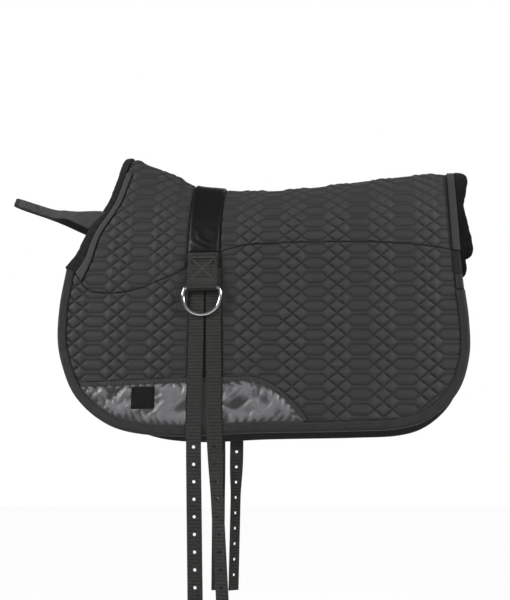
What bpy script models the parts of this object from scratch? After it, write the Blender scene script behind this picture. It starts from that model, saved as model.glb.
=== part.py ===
"""Bareback pad for a horse: a quilted, foam filled seat with two hanging flaps, a webbing strap over
the seat that ends in a dee ring on each side, two punched billets a side and a webbing grab handle.

Metres, +X to the rear of the horse, -Y its near (left) side, +Z up. The origin lies on the
underside of the spine, where the pad rests on the horse's back.
"""

from math import acos, cos, pi, radians, sin

import bmesh
import bpy
from mathutils import Matrix, Vector

# Whole pad
PAD_LENGTH = 0.698           # front edge of the flaps to their rear edge
PAD_DROP = 0.427             # origin down to the lowest edge of the flaps
WITHER_RISE = 0.068          # how far the front of the spine stands above its lowest place
SEAM_HALF_WIDTH = 0.103      # half the width between the flaps, where the seam is highest
SEAM_DROP = 0.098            # origin down to the highest stretch of the seam
FLAP_SPLAY = 0.045           # how much farther out the foot of a flap stands than its seam
HALF_GIRTH = 0.190           # spine to seam, measured over the cover
CLEARANCE = 0.0003           # between pieces that touch
SEAM_GAP = 0.0007            # between the seat and a flap, down the seam

# Side view, as shares of PAD_LENGTH (to the rear) and of the height named
SPINE_SHARES = ((-0.50, 1.02), (-0.342, 1.0), (-0.27, 0.73), (-0.221, 0.505), (-0.165, 0.20),
                (-0.10, 0.09), (0.0, 0.0), (0.129, 0.06), (0.296, 0.225), (0.42, 0.34), (0.53, 0.35))
SEAM_SHARES = ((-0.443, 0.333), (-0.4155, 0.400), (-0.384, 0.4215), (-0.302, 0.417),
               (-0.206, 0.358), (-0.079, 0.260), (-0.006, 0.233), (0.256, 0.2295), (0.40, 0.247),
               (0.504, 0.276))
FLAP_SHARES = ((-0.467, 0.321), (-0.4785, 0.468), (-0.479, 0.609), (-0.463, 0.721),
               (-0.430, 0.834), (-0.370, 0.927), (-0.294, 0.981), (-0.172, 1.0), (0.0, 0.9895),
               (0.229, 0.984), (0.355, 0.973), (0.430, 0.927), (0.490, 0.827), (0.517, 0.691),
               (0.5186, 0.550), (0.510, 0.410), (0.504, 0.278))
PATCH_EDGE_SHARES = ((-0.4155, 0.788), (-0.153, 0.773), (-0.043, 0.770), (0.0, 0.770),
                     (0.037, 0.789), (0.079, 0.834), (0.115, 0.895), (0.150, 0.975))

# Ends of the seat, as shares of the way from the spine to the seam and of PAD_LENGTH
FRONT_EDGE_SHARES = ((0.0, -0.330), (0.33, -0.338), (0.54, -0.354), (0.62, -0.370),
                     (0.74, -0.4025), (0.87, -0.421), (1.0, -0.443))
REAR_EDGE_SHARES = ((0.0, 0.4985), (0.5, 0.498), (0.87, 0.5015), (1.0, 0.504))
ROW_SHARES = (0.0, 0.09, 0.20, 0.33, 0.48, 0.63, 0.78, 0.93, 1.0)

# Layers
COVER_THICKNESS = 0.0025
LINING_THICKNESS = 0.0050
SPINE_FOAM = 0.0080
SEAT_FOAM = 0.0150
SEAT_EDGE_FOAM = 0.0020
FOAM_TAPER = 0.045           # ends of the seat to where its foam is full
FOAM_SEAM_SHARE = 0.30       # the same from the seam, as a share of the way to the spine
FOAM_SPINE_SHARE = 0.35      # the same from the spine
FLAP_WADDING = 0.0045
FLAP_EDGE_WADDING = 0.0008
WADDING_TAPER = 0.025
FLAP_BORDER = 0.0080         # cover and lining together, inside the edge binding

# Quilting: upright bands and the columns between them
QUILT_PERIOD = 0.075
QUILT_BAND = 0.025
QUILT_PUFF = 0.0013
FIRST_BAND_PLACE = -0.269    # middle of the band nearest the front
BAND_COUNT = 9
PUFF_ROWS = 4                # rows of points that shape a flap's channels above its patch
SEAM_TIP_SHARES = (0.18, 0.36, 0.66)  # seam points between the front tip and the next quilting line

# Edge binding, tapes and fleece rolls
BINDING_WIDTH = 0.014
BINDING_THICKNESS = 0.0012
FRONT_TAPE_WIDTH = 0.010
REAR_TAPE_WIDTH = 0.013
TAPE_THICKNESS = 0.0010
FRONT_ROLL_WIDTH = 0.013
REAR_ROLL_WIDTH = 0.015
ROLL_THICKNESS = 0.014
ROLL_PROUD = 0.0020          # how far a roll stands above the cover
ROLL_GAP = 0.0006
ROLL_END_SHARE = 0.985       # where a roll stops, as a share of the way from spine to seam
FRONT_TAPE_START_SHARE = 0.33  # where the front tapes start on that way
CORNER_TAPE_LENGTH = 0.040
BAR_TACK_LENGTH = 0.025
BAR_TACK_WIDTH = 0.012
BAR_TACK_THICKNESS = 0.0016

# Strap, ring tab and dee ring
STRAP_WIDTH = 0.052
STRAP_THICKNESS = 0.0024
STRAP_PLACE = -0.0855        # middle of the strap
STRAP_END_DROP = 0.1115      # origin down to its level ends
WEBBING_THICKNESS = 0.0022
TAB_TOP_DROP = 0.1125
TAB_JOG_DROP = 0.1300        # where the tab starts to climb over the billets
TAB_JOG_LENGTH = 0.008
TAB_RAMP_LENGTH = 0.014      # from the bar up to where the two layers lie together
RING_DROP = 0.1760
RING_WIRE = 0.0050
RING_HALF_WIDTH = 0.0305     # to the middle of the wire
RING_HEIGHT = 0.0470
RING_BOW = 0.0340            # depth of the curved lower part
RING_CORNER = 0.0040

# Billets
BILLET_WIDTH = 0.025
BILLET_SPACING = 0.0268
BILLET_PLACE = -0.0950       # middle of the front billet at its top
BILLET_LEANS = (0.006, 0.032)  # run to the rear for each unit of drop, front and rear
BILLET_TOP_DROP = 0.1400
STITCH_SHARE = 0.7658        # of PAD_DROP, down to the lowest stitching, where billets come free
STITCH_DROP = STITCH_SHARE * PAD_DROP
BILLET_RISE_LENGTH = 0.015   # stretch over which a billet climbs to pass the binding
FREE_SHARE = 0.9953          # of PAD_DROP, down to where a billet starts to hang straight
FREE_DROP = FREE_SHARE * PAD_DROP
BILLET_BOW = 0.045           # length over which it turns to hang straight
BILLET_END_DROP = 0.7000
TWIST_LENGTH = 0.110
HOLE_DIAMETER = 0.0052
HOLE_PITCH = 0.0283
FIRST_HOLE_DROP = 0.4450
HOLE_COUNT = 9
PUNCH_LENGTH = 0.012

# Wear patch
PATCH_THICKNESS = 0.0006
TRIM_THICKNESS = 0.0009
TRIM_WIDTH = 0.008
LABEL_WIDTH = 0.039
LABEL_HEIGHT = 0.036
LABEL_THICKNESS = 0.0007
LABEL_PLACE = -0.181
LABEL_SHARE = 0.850          # of PAD_DROP, down to the middle of the label patch
LABEL_DROP = LABEL_SHARE * PAD_DROP

# Grab handle
HANDLE_WIDTH = 0.015
HANDLE_THICKNESS = 0.0040
HANDLE_REACH = 0.133         # root hinge to the front of the loop, level
HANDLE_RISE = 0.047
HANDLE_HALF_SPAN = 0.085     # half the distance between the roots
HANDLE_ROOT_PLACE = -0.318
# Degrees round the loop, from a root to its front, and half its spread as a share of half the span
HANDLE_SPREAD_SHARES = ((-20.0, 0.41), (-10.0, 0.80), (0.0, 1.0), (10.0, 0.80), (20.0, 0.41),
                        (30.0, 0.245), (45.0, 0.205), (60.0, 0.19), (75.0, 0.12), (90.0, 0.0),
                        (105.0, -0.12))
HANDLE_ROOT_DROP = 0.039
HANDLE_FLARE = 0.038         # height of a root where it goes into the front roll
CUP_GAP = 0.0005             # between the loop's round ends and the hollows in its roots
ROOT_GAP = 0.0014            # between a root and the front roll
CUP_FROM = 120.0             # degrees from straight ahead to the ends of the root's hollow
CUP_TO = 245.0

# How finely round things are drawn
OUTLINE_STEP = 0.027
PATCH_STEP = 0.022
ARC_STEPS = 6
RING_STEPS = 12
LOOP_STEPS = 22
PUNCH_SIDES = 8
NUDGE = 0.0005               # step for measuring a slope of the surface
MATCH = 0.00001              # points closer than this are one point

FABRIC_BLACK = (0.030, 0.031, 0.034)
FLEECE_BLACK = (0.012, 0.012, 0.013)
COVER_CHARCOAL = (0.050, 0.052, 0.056)
TAPE_GREY = (0.085, 0.087, 0.088)
WEBBING_GREY = (0.045, 0.045, 0.040)
STRAP_BROWN = (0.032, 0.028, 0.026)
SATIN_GREY = (0.130, 0.132, 0.138)
FOAM_CREAM = (0.700, 0.660, 0.520)
WADDING_WHITE = (0.800, 0.800, 0.780)
CHROME = (0.780, 0.780, 0.790)

NEAR = -1
FAR = 1
SIDES = (("near", NEAR), ("far", FAR))


def clear_scene():
    for item in list(bpy.data.objects):
        bpy.data.objects.remove(item, do_unlink=True)


def material(name, colour, roughness, metallic=0.0):
    """One Principled material with a plain colour."""
    made = bpy.data.materials.get(name) or bpy.data.materials.new(name)
    made.use_nodes = True
    shader = made.node_tree.nodes["Principled BSDF"]
    shader.inputs["Base Color"].default_value = (*colour, 1.0)
    shader.inputs["Roughness"].default_value = roughness
    shader.inputs["Metallic"].default_value = metallic
    return made


def make_pivot(name, place, parent=None):
    """An empty on a joint's axis, which carries the pieces that move about it."""
    pivot = bpy.data.objects.new(name, None)
    bpy.context.collection.objects.link(pivot)
    pivot.parent = parent
    pivot.location = Vector(place) - (world_place(parent) if parent else Vector())
    pivot["place"] = tuple(place)
    return pivot


def world_place(pivot):
    return Vector(pivot["place"])


def add_piece(name, mesh, finish, pivot=None):
    """Link a mesh drawn in the pad's own frame, with its origin on its pivot."""
    piece = bpy.data.objects.new(name, mesh)
    bpy.context.collection.objects.link(piece)
    mesh.materials.append(material(name + "_finish", *finish))
    if pivot:
        mesh.transform(Matrix.Translation(-world_place(pivot)))
        piece.parent = pivot
    return piece


def mesh_from(shape, name):
    mesh = bpy.data.meshes.new(name)
    shape.to_mesh(mesh)
    shape.free()
    return mesh


def mirrored(mesh, name):
    """The same shape for the far side of the horse."""
    copy = mesh.copy()
    copy.name = name
    copy.transform(Matrix.Diagonal((1, -1, 1, 1)))
    copy.flip_normals()
    return copy


# Curves

def share_points(shares, height):
    """Shares of the pad's length and of a height, as lengths."""
    return [(along * PAD_LENGTH, up * height) for along, up in shares]


def value_at(points, place):
    """Smooth height of a line through points, read at a place along it."""
    if place <= points[0][0]:
        return points[0][1]
    if place >= points[-1][0]:
        return points[-1][1]
    slopes = []
    for index in range(len(points)):
        before = points[max(index - 1, 0)]
        after = points[min(index + 1, len(points) - 1)]
        slopes.append((after[1] - before[1]) / (after[0] - before[0]))
    index = max(k for k in range(len(points) - 1) if points[k][0] <= place)
    start, end = points[index], points[index + 1]
    span = end[0] - start[0]
    t = (place - start[0]) / span
    rest = 1 - t
    return (start[1] * rest * rest * (1 + 2 * t) + end[1] * t * t * (3 - 2 * t)
            + slopes[index] * span * t * rest * rest - slopes[index + 1] * span * t * t * rest)


def curve_through(points, step):
    """Points about a step apart on a smooth curve through a few chosen points."""
    drawn = []
    for index in range(len(points) - 1):
        p1, p2 = Vector(points[index]), Vector(points[index + 1])
        p0 = Vector(points[index - 1]) if index else p1 * 2 - p2
        p3 = Vector(points[index + 2]) if index + 2 < len(points) else p2 * 2 - p1
        count = max(1, round((p2 - p1).length / step))
        for k in range(count):
            t = k / count
            drawn.append((p1 * 2 + (p2 - p0) * t + (p0 * 2 - p1 * 5 + p2 * 4 - p3) * t * t
                          + (p1 * 3 - p0 - p2 * 3 + p3) * t * t * t) / 2)
    drawn.append(Vector(points[-1]))
    return drawn


def offset_line(points, distance):
    """A line to the left of another, at an even distance from it."""
    moved = []
    for index, point in enumerate(points):
        back = point - points[index - 1] if index else points[1] - point
        ahead = points[index + 1] - point if index + 1 < len(points) else back
        left_back = Vector((-back.y, back.x)).normalized()
        left_ahead = Vector((-ahead.y, ahead.x)).normalized()
        middle = (left_back + left_ahead).normalized()
        moved.append(point + middle * (distance / middle.dot(left_ahead)))
    return moved


def crossing(points, axis, value):
    """Index and place where a line first passes a value of x (axis 0) or z (axis 1)."""
    for index in range(len(points) - 1):
        here, there = points[index][axis], points[index + 1][axis]
        if min(here, there) <= value < max(here, there):
            t = (value - here) / (there - here)
            return index, points[index].lerp(points[index + 1], t)
    raise ValueError("the line never passes that value")


def smooth_step(share):
    t = min(max(share, 0), 1)
    return t * t * (3 - 2 * t)


# Surface of the pad

SPINE_STACK = COVER_THICKNESS + SPINE_FOAM + LINING_THICKNESS + 2 * CLEARANCE
SPINE_LINE = share_points(SPINE_SHARES, WITHER_RISE)
SEAM_LINE = share_points(SEAM_SHARES, PAD_DROP)
FRONT_EDGE_LINE = [(way, along * PAD_LENGTH) for way, along in FRONT_EDGE_SHARES]
REAR_EDGE_LINE = [(way, along * PAD_LENGTH) for way, along in REAR_EDGE_SHARES]
FLAP_SLOPE = FLAP_SPLAY / (PAD_DROP - SEAM_DROP)
FLAP_OUTWARD = Vector((0, -1, FLAP_SLOPE)).normalized()
STRAP_FRONT = STRAP_PLACE - STRAP_WIDTH / 2
STRAP_REAR = STRAP_PLACE + STRAP_WIDTH / 2
BILLET_REAR = (BILLET_PLACE + BILLET_SPACING + BILLET_WIDTH / 2 + 2 * CLEARANCE
               + BILLET_LEANS[-1] * (STITCH_DROP - BILLET_TOP_DROP))


def spine_height(x):
    return SPINE_STACK + value_at(SPINE_LINE, x)


def seam_height(x):
    return -value_at(SEAM_LINE, x)


def half_width(z):
    """Half the width between the outer faces of the flaps, or of the seat just over its seam."""
    return SEAM_HALF_WIDTH - FLAP_SLOPE * (z + SEAM_DROP)


def seat_point(x, way):
    """Outer face of the seat: way runs from -1 at the near seam over the spine to 1 at the far."""
    turn = abs(way) * pi / 2
    top = spine_height(x)
    z = top - (top - seam_height(x)) * (1 - cos(turn))
    y = half_width(z) * sin(turn)
    return Vector((x, y if way > 0 else -y, z))


def seat_outward(x, way):
    small = NUDGE / HALF_GIRTH
    along = seat_point(x + NUDGE, way) - seat_point(x - NUDGE, way)
    low, high = max(way - small, -1), min(way + small, 1)
    across = seat_point(x, high) - seat_point(x, low)
    return along.cross(across).normalized()


def way_down_to(x, z):
    """How far down the seat's side a height lies, as a share of the way from spine to seam."""
    top = spine_height(x)
    return acos(1 - (top - z) / (top - seam_height(x))) / (pi / 2)


def front_edge(way):
    return value_at(FRONT_EDGE_LINE, abs(way))


def rear_edge(way):
    return value_at(REAR_EDGE_LINE, abs(way))


def flap_point(x, z, out=0):
    """A point on the near flap, a height above its outer face."""
    return Vector((x, -half_width(z), z)) + FLAP_OUTWARD * out


# Quilting

def band_middles():
    return [FIRST_BAND_PLACE + QUILT_PERIOD * index for index in range(BAND_COUNT)]


def near_webbing(x):
    """Whether a quilting line would run under the strap and billets or close beside them."""
    return STRAP_FRONT - STRAP_THICKNESS < x < BILLET_REAR + STRAP_THICKNESS


def valley_lines():
    """Stitched lines at both sides of each upright band, and the edges of the strap."""
    lines = [middle + side * QUILT_BAND / 2 for middle in band_middles() for side in (-1, 1)]
    return sorted([x for x in lines if not near_webbing(x)]
                  + [STRAP_FRONT, STRAP_REAR, BILLET_REAR])


def crest_lines():
    """Middles of the bands and of the columns between them, which the wadding fills out."""
    lines = [middle + shift for middle in band_middles() for shift in (0, QUILT_PERIOD / 2)]
    return [x for x in lines if not near_webbing(x)]


def puff_at(x, room):
    """How far the quilting stands proud at x, with this much room to the nearest edge."""
    on_crest = any(abs(x - crest) < MATCH for crest in crest_lines())
    return QUILT_PUFF * smooth_step(room / QUILT_BAND) if on_crest else 0


def seam_stations():
    """Places along the seam where both its sides have a point."""
    start, end = front_edge(1), rear_edge(1)
    lines = [x for x in valley_lines() + crest_lines() if start + MATCH < x < end - MATCH]
    tip = min(lines) - start
    tips = [start + tip * share for share in SEAM_TIP_SHARES]
    ends = [start, start + FRONT_TAPE_WIDTH, end - BINDING_WIDTH, end - REAR_TAPE_WIDTH, end]
    return sorted(lines + tips + ends)


# Meshes made of flat nets

class Net:
    """A flat mesh whose points are shared and whose faces carry a tag."""

    def __init__(self):
        self.shape = bmesh.new()
        self.known = {}

    def point(self, x, y):
        key = (round(x / MATCH), round(y / MATCH))
        if key not in self.known:
            self.known[key] = self.shape.verts.new((x, y, 0))
        return self.known[key]

    def face(self, points, tag=0):
        made = self.shape.faces.new([self.point(*point) for point in points])
        made.material_index = tag

    def cut(self, axis, places, tag=0):
        """Split the faces that have a tag along lines of constant x or y."""
        normal = Vector((1, 0, 0)) if axis == 0 else Vector((0, 1, 0))
        for place in places:
            faces = [f for f in self.shape.faces if f.material_index == tag]
            edges = {e for f in faces for e in f.edges}
            verts = {v for f in faces for v in f.verts}
            bmesh.ops.bisect_plane(self.shape, geom=[*faces, *edges, *verts], dist=MATCH,
                                   plane_co=normal * place, plane_no=normal)

    def finish(self):
        bmesh.ops.triangulate(self.shape, faces=self.shape.faces[:])
        return self


def part_of(net, keep):
    """A copy of a net with only the faces that keep says."""
    copy = Net()
    for face in net.shape.faces:
        if keep(face):
            copy.face([vert.co.xy for vert in face.verts], face.material_index)
    return copy


def edge_cycle(shape):
    """The points round a net's rim, in the direction its faces run."""
    follows = {}
    for edge in shape.edges:
        if edge.is_boundary:
            loop = edge.link_loops[0]
            follows[loop.vert] = loop.link_loop_next.vert
    first = next(iter(follows))
    cycle = [first]
    while follows[cycle[-1]] is not first:
        cycle.append(follows[cycle[-1]])
    return cycle


def closed_shell(top, place_top, bottom, place_bottom):
    """Two nets on one outline, each put in place by a function, joined round their rims.

    Every point of the bottom's rim is also on the top's rim, which may have more."""
    shape = bmesh.new()
    high = {vert: shape.verts.new(place_top(*vert.co.xy)) for vert in top.shape.verts}
    low = {vert: shape.verts.new(place_bottom(*vert.co.xy)) for vert in bottom.shape.verts}
    for face in top.shape.faces:
        shape.faces.new([high[vert] for vert in face.verts])
    for face in bottom.shape.faces:
        shape.faces.new([low[vert] for vert in reversed(face.verts)])
    rim = edge_cycle(top.shape)
    beneath = {}
    for vert in edge_cycle(bottom.shape):
        beneath[min(rim, key=lambda r: (r.co - vert.co).length)] = low[vert]
    start = next(index for index, vert in enumerate(rim) if vert in beneath)
    rim = rim[start:] + rim[:start + 1]
    anchor = beneath[rim[0]]
    for here, there in zip(rim, rim[1:]):
        shape.faces.new([high[there], high[here], anchor])
        if there in beneath:
            shape.faces.new([high[there], anchor, beneath[there]])
            anchor = beneath[there]
    return shape


def even_shell(net, place, high, low):
    """A net given a thickness: high and low are heights over the surface, or functions of x, y."""
    def at(level):
        return lambda x, y: place(x, y, level(x, y) if callable(level) else level)
    return closed_shell(net, at(high), net, at(low))


# Seat

def seat_net(cuts):
    """The seat laid flat, with tape bands at both ends, cut along the quilting lines."""
    net = Net()
    ways = sorted({side * share for share in ROW_SHARES for side in (-1, 1)})
    stations = seam_stations()
    for low, high in zip(ways, ways[1:]):
        edges = [(front_edge(way), front_edge(way) + FRONT_TAPE_WIDTH,
                  rear_edge(way) - REAR_TAPE_WIDTH, rear_edge(way)) for way in (low, high)]
        for strip in range(3):
            lower = [edges[0][strip], edges[0][strip + 1]]
            upper = [edges[1][strip], edges[1][strip + 1]]
            if low == -1:
                lower[1:1] = [x for x in stations if lower[0] + MATCH < x < lower[1] - MATCH]
            if high == 1:
                upper[1:1] = [x for x in stations if upper[0] + MATCH < x < upper[1] - MATCH]
            outline = [(x, low) for x in lower] + [(x, high) for x in reversed(upper)]
            net.face([(x, way * HALF_GIRTH) for x, way in outline], (1, 0, 2)[strip])
    net.cut(0, cuts)
    return net.finish()


def seat_place(x, girth, out=0):
    way = min(max(girth / HALF_GIRTH, -1), 1)
    return seat_point(x, way) + seat_outward(x, way) * out


def seat_foam_depth(x, girth):
    way = abs(girth) / HALF_GIRTH
    room = min(x - front_edge(way), rear_edge(way) - x) / FOAM_TAPER
    full = SPINE_FOAM + (SEAT_FOAM - SPINE_FOAM) * smooth_step(way / FOAM_SPINE_SHARE)
    ease = min(smooth_step(room), smooth_step((1 - way) / FOAM_SEAM_SHARE))
    return SEAT_EDGE_FOAM + (full - SEAT_EDGE_FOAM) * ease


def seat_puff(x, girth):
    way = abs(girth) / HALF_GIRTH
    ends = min(x - front_edge(way) - FRONT_TAPE_WIDTH, rear_edge(way) - REAR_TAPE_WIDTH - x)
    return puff_at(x, min(ends, HALF_GIRTH * (1 - way)))


def build_seat(finishes):
    fine = seat_net(sorted(valley_lines() + crest_lines()))
    plain = seat_net(valley_lines())

    def foam_floor(x, girth):
        return -COVER_THICKNESS - CLEARANCE - seat_foam_depth(x, girth)

    def lining_top(x, girth):
        return foam_floor(x, girth) - CLEARANCE

    def lining_floor(x, girth):
        return lining_top(x, girth) - LINING_THICKNESS

    cover = closed_shell(fine, lambda x, g: seat_place(x, g, seat_puff(x, g)),
                         plain, lambda x, g: seat_place(x, g, -COVER_THICKNESS))
    add_piece("seat_cover", mesh_from(cover, "seat_cover"), finishes["cover"])
    foam = even_shell(plain, seat_place, -COVER_THICKNESS - CLEARANCE, foam_floor)
    add_piece("seat_foam", mesh_from(foam, "seat_foam"), finishes["foam"])
    lining = even_shell(plain, seat_place, lining_top, lining_floor)
    add_piece("seat_lining", mesh_from(lining, "seat_lining"), finishes["fleece"])
    build_strap(fine, finishes["strap"])
    build_seat_tapes(fine, finishes["tape"])
    build_roll("front_fleece_roll", front_edge, -1, FRONT_ROLL_WIDTH, finishes["fleece"])
    build_roll("rear_fleece_roll", rear_edge, 1, REAR_ROLL_WIDTH, finishes["fleece"])


def build_strap(fine, finish):
    """Webbing over the spine, down to the ring tab on each side, where it ends level."""
    net = part_of(fine, lambda face: STRAP_FRONT < face.calc_center_median().x < STRAP_REAR)
    for side in (NEAR, FAR):
        front, rear = [Vector((x, side * HALF_GIRTH * way_down_to(x, -STRAP_END_DROP), 0))
                       for x in (STRAP_FRONT, STRAP_REAR)]
        outward = (rear - front).cross(Vector((0, 0, 1)))
        if outward.y * side < 0:
            outward.negate()
        parts = [*net.shape.verts, *net.shape.edges, *net.shape.faces]
        bmesh.ops.bisect_plane(net.shape, geom=parts, dist=MATCH, plane_co=front,
                               plane_no=outward.normalized(), clear_outer=True)
    net.finish()
    shape = even_shell(net, seat_place, CLEARANCE + STRAP_THICKNESS, CLEARANCE)
    add_piece("crossing_strap", mesh_from(shape, "crossing_strap"), finish)


def build_seat_tapes(fine, finish):
    """Flat tape sewn over the cover's ends, behind the front roll and before the rear one."""
    def laid(net):
        return even_shell(net, seat_place, CLEARANCE + TAPE_THICKNESS, CLEARANCE)
    start = FRONT_TAPE_START_SHARE * HALF_GIRTH - MATCH
    for side_name, side in SIDES:
        net = part_of(fine, lambda face: face.material_index == 1
                      and face.calc_center_median().y * side > start)
        name = side_name + "_front_tape"
        add_piece(name, mesh_from(laid(net), name), finish)
    net = part_of(fine, lambda face: face.material_index == 2)
    add_piece("rear_tape", mesh_from(laid(net), "rear_tape"), finish)


def edge_frame(edge, way, ahead):
    """Point on an end of the seat, the way out of its surface and the way off its end."""
    small = NUDGE / HALF_GIRTH
    before = seat_point(edge(way - small), way - small)
    after = seat_point(edge(way + small), way + small)
    point = seat_point(edge(way), way)
    outward = seat_outward(edge(way), way)
    off = (after - before).cross(outward).normalized()
    if off.x * ahead < 0:
        off.negate()
    return point, outward, off


def roll_frame(edge, way, ahead):
    """Middle of a roll's flat back, the way out of the seat there and the way off its end."""
    point, outward, off = edge_frame(edge, way, ahead)
    return point + off * ROLL_GAP + outward * (ROLL_PROUD - ROLL_THICKNESS / 2), outward, off


def build_roll(name, edge, ahead, width, finish):
    """The lining's fleece rolled round an end of the seat, flat against the layers it closes."""
    shares = [*ROW_SHARES[:-1], ROLL_END_SHARE]
    half = ROLL_THICKNESS / 2
    sections = []
    for way in sorted({side * share for share in shares for side in (-1, 1)}):
        middle, outward, off = roll_frame(edge, way, ahead)
        turns = [-pi / 2 + pi * step / ARC_STEPS for step in range(ARC_STEPS + 1)]
        sections.append([middle + off * width * cos(turn) + outward * half * sin(turn)
                         for turn in turns])
    shape = skin(sections)
    add_piece(name, mesh_from(shape, name), finish)


def skin(sections):
    """A closed body through a row of sections with equal numbers of points."""
    shape = bmesh.new()
    rings = [[shape.verts.new(point) for point in section] for section in sections]
    count = len(rings[0])
    for here, there in zip(rings, rings[1:]):
        for index in range(count):
            after = (index + 1) % count
            shape.faces.new([here[index], here[after], there[after], there[index]])
    shape.faces.new(list(reversed(rings[0])))
    shape.faces.new(rings[-1])
    bmesh.ops.triangulate(shape, faces=shape.faces[:])
    bmesh.ops.recalc_face_normals(shape, faces=shape.faces[:])
    return shape


# Flaps

def flap_edge(step=OUTLINE_STEP):
    """Free edge of a flap inside its binding, from the front of the seam round to its rear."""
    outer = curve_through([(x, -z) for x, z in share_points(FLAP_SHARES, PAD_DROP)], step)
    return offset_line(outer, BINDING_THICKNESS + CLEARANCE)


def flap_seam():
    """Top edge of a flap under the seat, from the rear to the front."""
    return [Vector((x, seam_height(x) - SEAM_GAP)) for x in reversed(seam_stations())]


def flap_border(edge, seam):
    """Inner line of the edge binding, whose ends lie on the flap's top edge."""
    inner = offset_line(edge, BINDING_WIDTH)
    top = (seam[-1] - edge[0]).normalized()
    inner[0] = edge[0] + top * BINDING_WIDTH
    rear = edge[-1].x - BINDING_WIDTH
    inner[-1] = Vector((rear, seam_height(rear) - SEAM_GAP))
    return inner


def flap_net(x_cuts, z_cuts):
    net = Net()
    edge, seam = flap_edge(), flap_seam()
    edge[-1] = seam[0].copy()
    inner = flap_border(edge, seam)
    for index in range(len(edge) - 1):
        net.face([edge[index], edge[index + 1], inner[index + 1], inner[index]], 1)
    top = [point for point in seam if inner[0].x + MATCH < point.x < inner[-1].x - MATCH]
    corner = [seam[0]] if seam[0].x > inner[-1].x + MATCH else []
    net.face(inner + top)
    net.cut(0, x_cuts)
    net.cut(1, z_cuts)
    return net.finish(), edge, inner, corner


def room_inside(lines, x, z):
    """Distance from a point to the nearest of some lines."""
    here = Vector((x, z))
    best = PAD_LENGTH
    for line in lines:
        for start, end in zip(line, line[1:]):
            run = end - start
            t = min(max((here - start).dot(run) / run.length_squared, 0), 1)
            best = min(best, (here - start - run * t).length)
    return best


def flat_piece(name, outline, low, high, finish, pivots):
    """A flat piece on both flaps, from its outline and its lowest and highest level."""
    net = Net()
    net.face(outline)
    net.finish()
    shape = even_shell(net, flap_point, high, low)
    add_pair(name, mesh_from(shape, "near_" + name), finish, pivots)


def add_pair(name, mesh, finish, pivots):
    """One piece on the near side and its mirror image on the far side."""
    other = mirrored(mesh, "far_" + name)
    add_piece("near_" + name, mesh, finish, pivots["near"])
    add_piece("far_" + name, other, finish, pivots["far"])


def flap_rows():
    """Heights of the rows of points on a flap, the last but one along the patch's top."""
    top = SEAM_DROP + QUILT_BAND
    patch_top = min(up for along, up in PATCH_EDGE_SHARES) * PAD_DROP - CLEARANCE
    drops = [top + (patch_top - top) * row / PUFF_ROWS for row in range(PUFF_ROWS + 1)]
    return [-drop for drop in drops] + [BINDING_WIDTH + QUILT_BAND - PAD_DROP]


def beside_patch(x, z):
    """Whether the cells of the net round a point touch the wear patch, where all lies flat."""
    below = [row for row in flap_rows() if row < z - MATCH]
    foot = max(below) if below else -PAD_DROP
    return any(patch_level(x + shift) > foot for shift in (-QUILT_BAND, 0, QUILT_BAND))


def build_flap_layers(finishes, pivots):
    patch = patch_outline()
    fine, edge, inner, _ = flap_net(sorted(valley_lines() + crest_lines()), flap_rows())
    rim = [inner, flap_seam()]

    def cover_top(x, z):
        return 0 if beside_patch(x, z) else puff_at(x, room_inside(rim, x, z))
    floor = Net()
    floor.face([vert.co.xy for vert in edge_cycle(fine.shape)])
    shape = closed_shell(fine, lambda x, z: flap_point(x, z, cover_top(x, z)),
                         floor.finish(), lambda x, z: flap_point(x, z, -COVER_THICKNESS))
    add_pair("flap_cover", mesh_from(shape, "near_flap_cover"), finishes["cover"], pivots)
    coarse = flap_net(valley_lines()[1::4], flap_rows()[::2])[0]

    def wadding(x, z):
        full = FLAP_WADDING - FLAP_EDGE_WADDING
        return FLAP_EDGE_WADDING + full * smooth_step(room_inside(rim, x, z) / WADDING_TAPER)

    def wadding_floor(x, z):
        return -COVER_THICKNESS - CLEARANCE - wadding(x, z)

    def on_edge(x, z):
        return room_inside([edge], x, z) < MATCH

    def lining_top(x, z):
        return -COVER_THICKNESS - CLEARANCE if on_edge(x, z) else wadding_floor(x, z) - CLEARANCE

    def lining_floor(x, z):
        return -FLAP_BORDER if on_edge(x, z) else FLAP_EDGE_WADDING - FLAP_BORDER - wadding(x, z)
    filling = part_of(coarse, lambda face: face.material_index == 0)
    shape = even_shell(filling, flap_point, -COVER_THICKNESS - CLEARANCE, wadding_floor)
    add_pair("flap_wadding", mesh_from(shape, "near_flap_wadding"), finishes["wadding"], pivots)
    shape = even_shell(coarse, flap_point, lining_top, lining_floor)
    add_pair("flap_lining", mesh_from(shape, "near_flap_lining"), finishes["fleece"], pivots)
    build_binding(finishes["binding"], pivots)
    build_patch(patch, finishes, pivots)
    build_corner(finishes["tape"], pivots)


def corner_drops():
    """Heights of the corner tape's foot, of the bar tack's foot and of the binding's rear end."""
    top = seam_height(rear_edge(1)) - SEAM_GAP
    tape_foot = top - CORNER_TAPE_LENGTH
    tack_foot = tape_foot - CLEARANCE - BAR_TACK_LENGTH
    return top, tape_foot, tack_foot


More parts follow.
